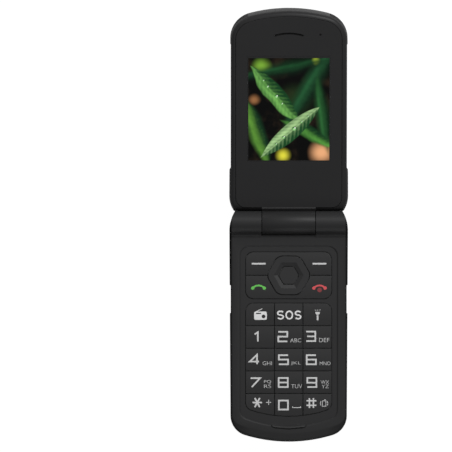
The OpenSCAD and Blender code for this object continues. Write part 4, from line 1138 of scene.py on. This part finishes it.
# Bars of the soft keys as boxes, ends of the two handsets, end dot as x, y and radius
SOFT_BARS, BAR_CORNER = [(-18.5, -21.0, -11.45, -20.15), (11.85, -21.0, 18.9, -20.15)], 0.4
HANDSETS, END_DOT = {"call": (-18.8, -11.3), "end": (11.7, 19.1)}, (15.45, -33.7, 1.15)
RADIO_CASE, RADIO_AERIAL = (-17.25, -48.6, -10.9, -44.45), [(-16.4, -44.6), (-13.1, -43.0)]
RADIO_WINDOW, RADIO_SPEAKER = (-16.35, -45.7, -13.8, -45.1), (-12.55, -46.9, 0.95)
TORCH_HEAD = [(13.35, -44.65), (15.55, -44.65), (15.55, -45.35), (14.95, -46.1), (13.95, -46.1),
              (13.35, -45.35)]
TORCH_HANDLE, ALARM_DEPTH, SINK, DARK_SINK = (14.0, -48.8, 14.9, -46.35), 0.06, 0.03, 0.02


def fitted(low, high, box):
    """Matrix that moves and scales what lies between two corners into a box."""
    x0, y0, x1, y1 = box
    return (Matrix.Translation((x0, y0, 0))
            @ Matrix.Diagonal(((x1 - x0) / (high.x - low.x), (y1 - y0) / (high.y - low.y), 1, 1))
            @ Matrix.Translation((-low.x, -low.y, 0)))


def corners_of(verts):
    """Lowest and highest corner of the box round some vertices."""
    return (Vector([min(v.co[i] for v in verts) for i in range(3)]),
            Vector([max(v.co[i] for v in verts) for i in range(3)]))


def stroked(lines, stroke, depth, box=None):
    """Flat strokes of even width along lines, as one closed solid.

    Each line is a start and its moves. Together they are fitted into the box, if there is one.
    """
    upright_turn, corner_share = 0.6, 0.22
    drawn = [bmesh.new() for line in lines]
    for bm, line in zip(drawn, lines):
        path(bm, *line)
        bmesh.ops.remove_doubles(bm, verts=bm.verts[:], dist=MERGE)
    place = fitted(*corners_of([v for bm in drawn for v in bm.verts]), box) if box else Matrix()
    whole = None
    for bm in drawn:
        moved(bm, place)
        wall = bmesh.ops.extrude_edge_only(bm, edges=bm.edges[:])["geom"]
        bmesh.ops.translate(bm, verts=[g for g in wall if isinstance(g, bmesh.types.BMVert)],
                            vec=(0, 0, depth))
        bmesh.ops.recalc_face_normals(bm, faces=bm.faces[:])
        o = as_object(bm)
        thick = o.modifiers.new("Stroke", "SOLIDIFY")
        thick.thickness, thick.offset, thick.use_even_offset, thick.use_rim = stroke, 0, True, True
        solid = evaluated(o)
        upright = [e for e in solid.edges if abs(e.verts[0].co.z - e.verts[1].co.z) > depth / 2
                   and e.calc_face_angle(0) > upright_turn]
        bevelled(solid, upright, stroke * corner_share, 2)
        bmesh.ops.recalc_face_normals(solid, faces=solid.faces[:])
        whole = combined(whole, ("UNION", solid)) if whole else solid
    return whole


def mark(glyph, x0, y0, x1, y1, stroke, depth=ALARM_DEPTH):
    """A drawn mark fitted into its box."""
    h = stroke / 2
    return stroked(GLYPHS[glyph], stroke, depth, (x0 + h, y0 + h, x1 - h, y1 - h))


def lettering(text, x0, y0, x1, y1, depth, weight=-0.012):
    """Plain letters fitted into their box."""
    curve = bpy.data.curves.new("letters", "FONT")
    curve.body, curve.extrude, curve.offset, curve.resolution_u = text, 0.5, weight, 4
    o = bpy.data.objects.new("letters", curve)
    bpy.context.scene.collection.objects.link(o)
    bpy.context.view_layer.update()
    seen = o.evaluated_get(bpy.context.evaluated_depsgraph_get())
    bm = bmesh.new()
    bm.from_mesh(seen.to_mesh())
    seen.to_mesh_clear()
    bpy.data.curves.remove(curve)
    bmesh.ops.remove_doubles(bm, verts=bm.verts[:], dist=LEVEL / 10)
    low, high = corners_of(bm.verts)
    moved(bm, Matrix.Diagonal((1, 1, depth / (high.z - low.z), 1)) @ Matrix.Translation((0, 0, -low.z)))
    moved(bm, fitted(low, high, (x0, y0, x1, y1)))
    bmesh.ops.recalc_face_normals(bm, faces=bm.faces[:])
    return bm


def flat(outline, depth):
    return raised(outline, 0, depth)


def laid_on_key(bm, low, high, sink=SINK):
    """Drops a legend onto the crowned top of its key."""
    strips(bm, low, high)
    for v in bm.verts:
        v.co.z += KEY_TOP - crown_drop(v.co.y, low, high) - sink
    return bm


def radio_mark(depth):
    """Case and aerial of a pocket radio."""
    corner, stroke = 0.8, 0.32
    return [flat(rectangle(*RADIO_CASE, corner), depth), stroked([RADIO_AERIAL], stroke, depth)]


def radio_dial(depth):
    """Tuning window and loudspeaker of the pocket radio."""
    corner = 0.1
    return gathered(flat(rectangle(*RADIO_WINDOW, corner), depth),
                    flat(disc(*RADIO_SPEAKER, steps=32), depth))


def torch_mark(depth):
    """Head and handle of a torch."""
    corner = 0.15
    return [flat(polygon(TORCH_HEAD), depth), flat(rectangle(*TORCH_HANDLE, corner), depth)]


def handset_mark(x0, x1, depth):
    """Handset of the call and end keys: an arch between two round ends."""
    y0, y1, end_y, end_r, end_in, arch_in, stroke = -33.3, -31.0, -32.75, 0.84, 0.88, 0.5, 0.85
    ends = [flat(disc(x, end_y, end_r, steps=32), depth) for x in (x0 + end_in, x1 - end_in)]
    arch = mark("handset", x0 + arch_in, y0, x1 - arch_in, y1, stroke, depth)
    return combined(arch, ("UNION", ends))


# ---- lid ----

WAIST = [(LID_HALF - 0.25, 26), (33, 21), (33, 97), (LID_HALF - 0.25, 92)]
SLOPE = [(8.9, FACE_W + 0.02), (7.4, FACE_W - 0.45), (5, FACE_W - 2.4), (5, 2), (8.9, 2)]
COVE_SLOT = [(7.75, 0.5), (7.75, -1.5), (5, -1.5), (5, 0.5)]
COVE = [(7.85, -1.6), (7.85, FACE_W), (7.35, 0.06), (7.1, -0.05), (5.3, -1.0), (4.5, -1.0), (4.5, -1.6)]
PANEL_HALF, PANEL_FROM, PANEL_TO, PANEL_FOOT_R, PANEL_CORNER = 26.4, 7.8, 106.75, 5, 9.6
PANEL_GAP, SCREEN_HALF, SCREEN_FROM, SCREEN_TO, SCREEN_GAP = 0.2, 20.6, 31.9, 86.5, 0.05
PANEL_T, LID_EDGE, SENSOR_SUNK, MESH_GAP, MESH_SUNK = 1.0, 0.04, 0.15, 0.08, 0.5
LID_SCREWS, WELL_R, WELL_Z = [(23.4, 15.5), (22.6, 95)], 1.7, -9.6
LID_SPAN, LID_UNDER, LID_OVER, SHELL_GAP, PANEL_ROOM = (-10, 120), -14, 10, 0.03, 1.1
KNUCKLE_SIDE, COVE_OVER, KNUCKLE_EDGE = 0.25, 0.1, 0.2
# Rooms in the middle knuckle for shaft, ribbon and pin: radius, from, to
KNUCKLE_ROOMS = [(3.4, -14, -8), (4.2, -5.2, 5.2), (2.05, 5, 14)]
# Openings for the display and the earpiece, and the room for the lid's board: left, right, near, far
DISPLAY_HOLE, EARPIECE_HOLE = (-22.65, 22.65, 29.2, 89.2), (-8, 8, 95, 100.8)
LID_ROOM, LID_ROOM_CORNER, LID_ROOM_Z = (-25, 8, 25, 105), 6, -9.2


def lid_form(inset=0.0):
    """The whole lid, or the same further in."""
    back_sink, face_sink, face_round, back_round = 0.6, 0.3, 2.4, 3.1
    return raised(lid_outline(inset), BACK_W + back_sink * inset, FACE_W - face_sink * inset,
                  top=face_round, bottom=back_round, steps=7)


def waist():
    """Shallow hollow along each side between the corner bumpers."""
    return both(raised(polygon(WAIST), LID_UNDER, LID_OVER))


def bumper_zones(grow=0.0):
    """Where rubber covers the lid: beside the hinge and round its two free corners."""
    edge, side_x, side_from, side_to, tip_x, tip_from = 1.2, 27.6, 2.2, 26.2, 20.4, 95
    low = BACK_W + edge - grow
    return (both(block(side_x - grow, BEYOND, side_from, side_to + grow, low, FACE_W - edge + grow))
            + both(block(tip_x - grow, BEYOND, tip_from - grow, LID_SPAN[1], low,
                         FACE_W - 2 * edge + grow)))


def panel_outline(grow=0.0, foot_steps=8):
    x, y = PANEL_HALF - PANEL_FOOT_R, PANEL_FROM + PANEL_FOOT_R
    tip = end_moves(PANEL_HALF + grow, PANEL_TO + grow, PANEL_CORNER + grow, END_BOW, (12, 12), way=1)
    return half_path((0, PANEL_FROM - grow), (x, PANEL_FROM - grow), (x, y, 90, foot_steps), *tip)


def earpiece_slot(grow=0.0, steps=16):
    """Arched slot above the screen."""
    mid, inner, outer = SLOT_TOP - SLOT_R, SLOT_R - 1 - grow, SLOT_R + grow
    a = asin((SLOT_HALF + grow) / SLOT_R)
    bm = bmesh.new()
    last = path(bm, (sin(a) * inner, mid + cos(a) * inner), (sin(a) * outer, mid + cos(a) * outer),
                (0, mid, degrees(2 * a), steps))
    point = bm.verts.new((-sin(a) * inner, mid + cos(a) * inner, 0))
    bm.edges.new((last, point))
    bmesh.ops.spin(bm, geom=[point], cent=(0, mid, 0), axis=(0, 0, 1), angle=-2 * a, steps=steps)
    return filled(bm)


def knuckle_room():
    return barrel(BARREL_R + BARREL_CLEAR, -BEYOND, BEYOND)


def lid_front_solid():
    """Front frame of the lid with the middle knuckle and the room inside it."""
    side, cove_half = KNUCKLE + KNUCKLE_SIDE, KNUCKLE + COVE_OVER
    body = combined(
        lid_form(), ("INTERSECT", block(-BEYOND, BEYOND, *LID_SPAN, FRAME_W, LID_OVER)),
        ("DIFFERENCE", waist()),
        ("DIFFERENCE", both(barrel(BARREL_R + BARREL_CLEAR, KNUCKLE, BEYOND))),
        ("DIFFERENCE", rubber_bites()),
        ("DIFFERENCE", raised(panel_outline(PANEL_GAP), FACE_W - PANEL_ROOM, LID_OVER)),
        ("DIFFERENCE", both(along(SLOPE, side, BEYOND))),
        ("DIFFERENCE", along(COVE_SLOT, -side, side)),
    )
    return combined(
        body, ("UNION", barrel(BARREL_R, -KNUCKLE, KNUCKLE, chamfer=KNUCKLE_EDGE)),
        ("UNION", along(COVE, -cove_half, cove_half)),
        ("DIFFERENCE", [barrel(*room, 48) for room in KNUCKLE_ROOMS]),
        ("DIFFERENCE", [block(*hole, -ABOVE, ABOVE) for hole in (DISPLAY_HOLE, EARPIECE_HOLE)]),
    )


def rubber_bites():
    """What the corner rubbers take out of the lid's shells."""
    return [combined(zone, ("DIFFERENCE", lid_form(SKIN))) for zone in bumper_zones()]


def speaker_slots():
    """Five slots over the loudspeaker."""
    middle, pitch, half_long, half_wide, through = 18.5, 2.2, 6.6, 0.6, -6
    return [raised(rectangle(-half_long, y - half_wide, half_long, y + half_wide, half_wide - 0.01),
                   LID_UNDER, through) for y in [middle + i * pitch for i in range(-2, 3)]]


def lid_back_solid():
    wells = [well for x, y in LID_SCREWS for well in both(raised(disc(x, y, WELL_R, 32), LID_UNDER, WELL_Z))]
    return combined(
        lid_form(), ("INTERSECT", block(-BEYOND, BEYOND, *LID_SPAN, LID_UNDER, FRAME_W - SHELL_GAP)),
        ("DIFFERENCE", waist()), ("DIFFERENCE", knuckle_room()),
        ("DIFFERENCE", rubber_bites()),
        ("DIFFERENCE", raised(rectangle(*LID_ROOM, LID_ROOM_CORNER), LID_ROOM_Z, LID_OVER)),
        ("DIFFERENCE", speaker_slots()), ("DIFFERENCE", wells),
    )


def lid_rubbers():
    return gathered(*[combined(lid_form(), ("INTERSECT", zone), ("DIFFERENCE", lid_form(SKIN)),
                               ("DIFFERENCE", waist()), ("DIFFERENCE", knuckle_room()))
                      for zone in bumper_zones(-0.02)])


def face_panel_solid():
    """Glossy panel with openings for the screen, the earpiece and the sensor."""
    edge = 0.12
    return combined(
        raised(panel_outline(), FACE_W - PANEL_T, FACE_W, top=edge, steps=2),
        ("DIFFERENCE", block(-SCREEN_HALF, SCREEN_HALF, SCREEN_FROM, SCREEN_TO, -LID_OVER, LID_OVER)),
        ("DIFFERENCE", raised(earpiece_slot(), -LID_OVER, LID_OVER)),
        ("DIFFERENCE", raised(disc(*SENSOR_AT, SENSOR_R, 32), -LID_OVER, LID_OVER)),
    )


def screen_solid():
    """Window in the panel, a hair lower than its face."""
    half, gap, corner = SCREEN_HALF - SCREEN_GAP, SCREEN_GAP, 0.3
    return raised(rectangle(-half, SCREEN_FROM + gap, half, SCREEN_TO - gap, corner), FACE_W - PANEL_T,
                  FACE_W - gap, top=gap, steps=1)


# ---- settings ----

def metres(default, name, text, low, high):
    return bpy.props.FloatProperty(name=name, description=text, default=default, min=low, max=high,
                                   precision=5, unit="LENGTH", subtype="DISTANCE")


def tint(default, name, text):
    return bpy.props.FloatVectorProperty(name=name, description=text, default=default, size=3, min=0,
                                         max=1, subtype="COLOR")


class PhoneSizes(bpy.types.PropertyGroup):
    edge_softness: metres(0.00015, "Edge softness", "Rounding of the small moulded edges", 0.00005, 0.0004)
    key_softness: metres(0.00022, "Key edge", "Rounding round the top of each key", 0.0001, 0.0004)
    legend_height: metres(0.00006, "Legend thickness", "Thickness of the printed marks", 0.00002, 0.0001)


class PhoneColours(bpy.types.PropertyGroup):
    case: tint((0.0225, 0.0225, 0.023), "Case", "Moulded plastic of both housings")
    cover: tint((0.023, 0.023, 0.023), "Cover", "Battery cover")
    rubber: tint((0.0205, 0.0205, 0.021), "Rubber", "Bumpers over the corners")
    key: tint((0.027, 0.027, 0.0275), "Keys", "Key caps")
    side_key: tint((0.03, 0.03, 0.03), "Side keys", "Volume key and socket flap")
    panel: tint((0.0245, 0.0245, 0.025), "Face panel", "Glossy panel round the screen")
    alarm: tint((0.8, 0.29, 0.045), "Alarm key", "Key on the back that calls for help")
    legend: tint((0.6, 0.6, 0.6), "Legends", "Printed marks on the keys")
    call: tint((0.12, 0.5, 0.08), "Call mark", "Handset that starts a call")
    end: tint((0.62, 0.07, 0.08), "End mark", "Handset that ends a call")
    glow: bpy.props.FloatProperty(name="Screen glow", description="Strength of the lit screen",
                                  default=1.0, min=0, max=3)


# ---- stage ----

# Area lamps: name, place and size in metres, power in watts
LAMPS = [("key_light", (0.42, 0.72, 1.0), 0.35, 13.5), ("rim_light", (-0.7, 1.1, 0.35), 0.3, 2.0),
         ("top_light", (-0.05, -0.05, 1.4), 0.6, 1.4), ("front_light", (0.1, -1.3, 0.35), 0.4, 3.2)]
LAMPS_AIM = Vector((0, 0.055, 0.012))
LENS, SENSOR, SEEN_WIDTH, SEEN_MIDDLE, SEEN_HEIGHT = 1000, 36, 0.2255, (-0.0313, 0.05235), 0.018
FLOOR_GLOW, FLOOR_SHARE, WORLD_LIGHT, FLOOR_HALF, CLIP = 1.18, 0.84, 0.11, 5, (0.1, 40)


def link(name, data):
    o = bpy.data.objects.new(name, data)
    bpy.context.scene.collection.objects.link(o)
    return o


def floor_finish():
    """Pale floor that takes shadows and looks white to the camera, in mirrors and through glass."""
    f = Finish("pale_floor")
    f.set(Base_Color=(0.32, 0.32, 0.32), Roughness=0.9, Specular_IOR_Level=0.1)
    rays = f.node("LightPath").outputs
    seen = Value(f, rays["Is Camera Ray"]).most(Value(f, rays["Is Glossy Ray"])).most(
        Value(f, rays["Is Transmission Ray"]))
    f.blend(seen * FLOOR_SHARE, f.node("Emission", {"Color": (1, 1, 1), "Strength": FLOOR_GLOW}))
    return f.material


class PHONE_OT_stage(bpy.types.Operator):
    """Makes the pale floor, the soft lights and the camera"""
    bl_idname = "phone.stage"
    bl_label = "Stage"

    def execute(self, context):
        bm = bmesh.new()
        bmesh.ops.create_grid(bm, x_segments=1, y_segments=1, size=FLOOR_HALF)
        floor = as_object(bm, "floor")
        floor.data.materials.append(floor_finish())
        world = bpy.data.worlds.new("studio")
        context.scene.world = world
        world.use_nodes = True
        background = world.node_tree.nodes["Background"]
        background.inputs["Color"].default_value = (1, 1, 1, 1)
        background.inputs["Strength"].default_value = WORLD_LIGHT
        for name, at, size, power in LAMPS:
            lamp = bpy.data.lights.new(name, "AREA")
            lamp.size, lamp.energy = size, power
            o = link(name, lamp)
            o.location = at
            o.rotation_euler = (Vector(at) - LAMPS_AIM).to_track_quat("Z", "Y").to_euler()
        camera = bpy.data.cameras.new("camera")
        camera.sensor_width, camera.lens = SENSOR, LENS
        camera.clip_start, camera.clip_end = CLIP
        o = link("camera", camera)
        o.location = (*SEEN_MIDDLE, SEEN_HEIGHT + SEEN_WIDTH * LENS / SENSOR)
        context.scene.camera = o
        return {"FINISHED"}


# ---- pieces ----

class PHONE_OT_base_shells(bpy.types.Operator):
    """Makes the two housings of the keypad half"""
    bl_idname = "phone.base_shells"
    bl_label = "Base housings"

    def execute(self, context):
        soft = context.scene.phone_sizes.edge_softness * IN_MM
        piece("front_shell", front_shell(), "base", finish("front"), ["base_front_housing"],
              soft, spared=in_thumb_dip)
        piece("back_shell", back_shell(), "base", finish("case"), ["base_rear_housing"], soft)
        return {"FINISHED"}


class PHONE_OT_bumpers(bpy.types.Operator):
    """Makes the rubber over the corners of the base and the lid"""
    bl_idname = "phone.bumpers"
    bl_label = "Bumpers"

    def execute(self, context):
        soft = context.scene.phone_sizes.edge_softness * IN_MM
        upper = bumper(*UPPER_RUBBER)
        lower = combined(bumper(*LOWER_RUBBER), ("DIFFERENCE", corner_grooves()))
        for name, solid, body, node in (("upper_rubber", upper, "base", "upper_bumpers"),
                                        ("lower_rubber", lower, "base", "lower_bumper"),
                                        ("lid_rubber", lid_rubbers(), "lid", "lid_bumpers")):
            piece(name, solid, body, finish("rubber"), [node], soft)
        return {"FINISHED"}


class PHONE_OT_back(bpy.types.Operator):
    """Makes the battery cover, the camera island, the alarm key, the torch and the contacts"""
    bl_idname = "phone.back"
    bl_label = "Back"

    def execute(self, context):
        piece("battery_door", battery_cover_solid(), "battery_cover", finish("cover"), ["battery_cover"],
              COVER_EDGE)
        piece("camera_surround", camera_surround(), "base", finish("bezel"), ["camera_bezel"])
        pane = raised(pane_outline(-PANE_GAP), *PANE_Z, bottom=PANE_EDGE, steps=2)
        piece("camera_pane", pane, "base", finish("pane"), ["camera_window"])
        ring, pupil = raised(disc(*LENS_AT, LENS_R), *LENS_Z), raised(disc(*LENS_AT, PUPIL_R, 24), *PUPIL_Z)
        piece("camera_lens_ring", ring, "base", finish("lens"))
        piece("camera_lens_spot", pupil, "base", finish("pane"))
        alarm = raised(alarm_outline(), *ALARM_Z, bottom=ALARM_EDGE)
        piece("alarm_key", alarm, "rear_sos_key", finish("alarm"), ["rear_sos_key"])
        piece("alarm_letters", alarm_word(), "rear_sos_key", finish("dark_ink"))
        piece("torch_dome", torch_dome(), "base", finish("torch"), ["torch_lens"])
        pins = [raised(disc(*at, PIN_R), *PIN_Z, bottom=PIN_EDGE, steps=3) for at in CONTACTS_AT]
        piece("contact_pins", gathered(*pins), "base", finish("gold"), ["charging_contacts"])
        return {"FINISHED"}


class PHONE_OT_side_keys(bpy.types.Operator):
    """Makes the volume key and the flap over the charging socket"""
    bl_idname = "phone.side_keys"
    bl_label = "Side keys"

    def execute(self, context):
        piece("volume_key", volume_key(VOLUME_X), "volume_rocker", finish("side"), ["volume_rocker"],
              SIDE_EDGE)
        piece("socket_flap", side_key(FLAP_X), "usb_flap", finish("side"), ["usb_flap"],
              SIDE_EDGE)
        return {"FINISHED"}


class PHONE_OT_keys(bpy.types.Operator):
    """Makes the keypad: two shared caps, the ring, the centre key and fifteen keys"""
    bl_idname = "phone.keys"
    bl_label = "Keys"

    def execute(self, context):
        soft = context.scene.phone_sizes.key_softness * IN_MM
        key = finish("key")
        piece("soft_key_cap", pair_bar(y0=HALF_GAP - NAV_AT), "soft_key_bar", key, ["soft_key_bar"])
        piece("call_key_cap", pair_bar(y1=-HALF_GAP - NAV_AT), "call_key_bar", key, ["call_key_bar"])
        piece("steering_ring", nav_ring_solid(), "nav_ring", key, ["nav_ring"],
              smooth=FACET_TURN)
        centre = raised(hexagon(OK_R, OK_ROUND), KEY_Z, KEY_TOP - OK_SUNK, top=OK_EDGE, steps=3)
        piece("centre_cap", centre, "ok_key", key, ["ok_key"])
        for i, name in enumerate(KEY_NAMES):
            piece(name + "_cap", cap(key_cell(i), soft), name, key, [name])
        return {"FINISHED"}


class PHONE_OT_legends(bpy.types.Operator):
    """Prints the marks on the keys"""
    bl_idname = "phone.legends"
    bl_label = "Legends"

    def execute(self, context):
        depth = context.scene.phone_sizes.legend_height * IN_MM
        drawn = {"torch_key": torch_mark, "radio_key": radio_mark}
        for i, name in enumerate(KEY_NAMES):
            marks = [mark(*m, depth=depth) for m in MARKS.get(name, [])]
            marks += [lettering(*m, depth=depth) for m in LETTERS.get(name, [])]
            marks += drawn[name](depth) if name in drawn else []
            ink = finish("bright_legend" if name in ("radio_key", "sos_key") else "legend")
            piece(name + "_legend", laid_on_key(gathered(*marks), *span(key_cell(i))), name, ink)
            if name == "radio_key":
                piece("radio_key_dial", laid_on_key(radio_dial(depth), *span(key_cell(i)), sink=DARK_SINK),
                      name, finish("key"))
        upper = HALF_GAP - NAV_AT, -UPPER_FROM - PAD_GAP
        lower = PAD_GAP - UPPER_TO, -HALF_GAP - NAV_AT
        bars = [flat(rectangle(*bar, BAR_CORNER), depth) for bar in SOFT_BARS]
        piece("soft_key_legend", laid_on_key(gathered(*bars), *upper), "soft_key_bar", finish("legend"))
        for kind, ends in HANDSETS.items():
            piece(kind + "_legend", laid_on_key(handset_mark(*ends, depth), *lower), "call_key_bar",
                  finish(kind))
        dot = flat(disc(*END_DOT, steps=40), depth)
        piece("end_dot", laid_on_key(dot, *lower, sink=DARK_SINK), "call_key_bar", finish("end_ring"))
        return {"FINISHED"}


class PHONE_OT_lid(bpy.types.Operator):
    """Makes the lid: front frame with its knuckle, rear cover, face panel, screen and earpiece mesh"""
    bl_idname = "phone.lid"
    bl_label = "Lid"

    def execute(self, context):
        piece("lid_frame", lid_front_solid(), "lid", finish("lid"), ["lid_front_frame"],
              LID_EDGE)
        piece("lid_back", lid_back_solid(), "lid", finish("lid"), ["lid_rear_cover"],
              LID_EDGE)
        piece("face_panel", face_panel_solid(), "lid", finish("panel"), ["lid_face_panel"])
        piece("screen_glass", screen_solid(), "lid", finish("screen"), ["screen_window"])
        window = raised(disc(*SENSOR_AT, SENSOR_R - 0.01, 32), FACE_W - PANEL_T, FACE_W - SENSOR_SUNK)
        piece("sensor_window", window, "lid", finish("bezel"))
        grille = raised(earpiece_slot(-MESH_GAP), FACE_W - PANEL_T, FACE_W - MESH_SUNK)
        piece("earpiece_grille", grille, "lid", finish("mesh"), ["earpiece_mesh"])
        return {"FINISHED"}


INNER = {
    "main_board": "board", "lid_board": "board", "shield_cans": "steel", "dome_sheet": "dome",
    "keypad_membrane": "silicone", "nav_pad": "silicone", "battery": "wrap", "camera_module": "lens",
    "torch_led": "torch_core", "usb_socket": "steel", "vibration_motor": "steel",
    "housing_screws": "steel", "lid_screws": "steel", "hinge_cartridge": "dark_steel",
    "hinge_bush": "dark_steel", "hinge_shaft": "dark_steel", "hinge_pin": "dark_steel",
    "hinge_flex": "film", "cover_seal": "gasket", "lcd_module": "display",
    "earpiece_speaker": "steel", "loudspeaker": "silicone",
}


class PHONE_OT_inner(bpy.types.Operator):
    """Gives the pieces inside the phone their finishes"""
    bl_idname = "phone.inner"
    bl_label = "Inner pieces"

    def execute(self, context):
        for node, kind in INNER.items():
            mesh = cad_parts[node].data
            mesh.materials.clear()
            mesh.materials.append(finish(kind))
        return {"FINISHED"}


class PHONE_PT_panel(bpy.types.Panel):
    """Lists the settings and the steps that make the phone"""
    bl_idname = "PHONE_PT_panel"
    bl_label = "Folding phone"
    bl_space_type = "VIEW_3D"
    bl_region_type = "UI"
    bl_category = "Phone"

    def draw(self, context):
        for group in (context.scene.phone_sizes, context.scene.phone_colours):
            for key in group.__annotations__:
                self.layout.prop(group, key)
        for operator in OPERATORS:
            self.layout.operator(operator.bl_idname)


OPERATORS = [PHONE_OT_stage, PHONE_OT_base_shells, PHONE_OT_bumpers, PHONE_OT_back, PHONE_OT_side_keys,
             PHONE_OT_keys, PHONE_OT_legends, PHONE_OT_lid, PHONE_OT_inner]
CLASSES = [PhoneSizes, PhoneColours] + OPERATORS + [PHONE_PT_panel]


def register():
    for cls in CLASSES:
        bpy.utils.register_class(cls)
    bpy.types.Scene.phone_sizes = bpy.props.PointerProperty(type=PhoneSizes)
    bpy.types.Scene.phone_colours = bpy.props.PointerProperty(type=PhoneColours)


def unregister():
    del bpy.types.Scene.phone_colours, bpy.types.Scene.phone_sizes
    for cls in reversed(CLASSES):
        bpy.utils.unregister_class(cls)


def main():
    register()
    bpy.context.scene.view_settings.view_transform = "Standard"
    for operator in OPERATORS:
        group, name = operator.bl_idname.split(".")
        getattr(getattr(bpy.ops, group), name)()


if __name__ == "__main__":
    main()
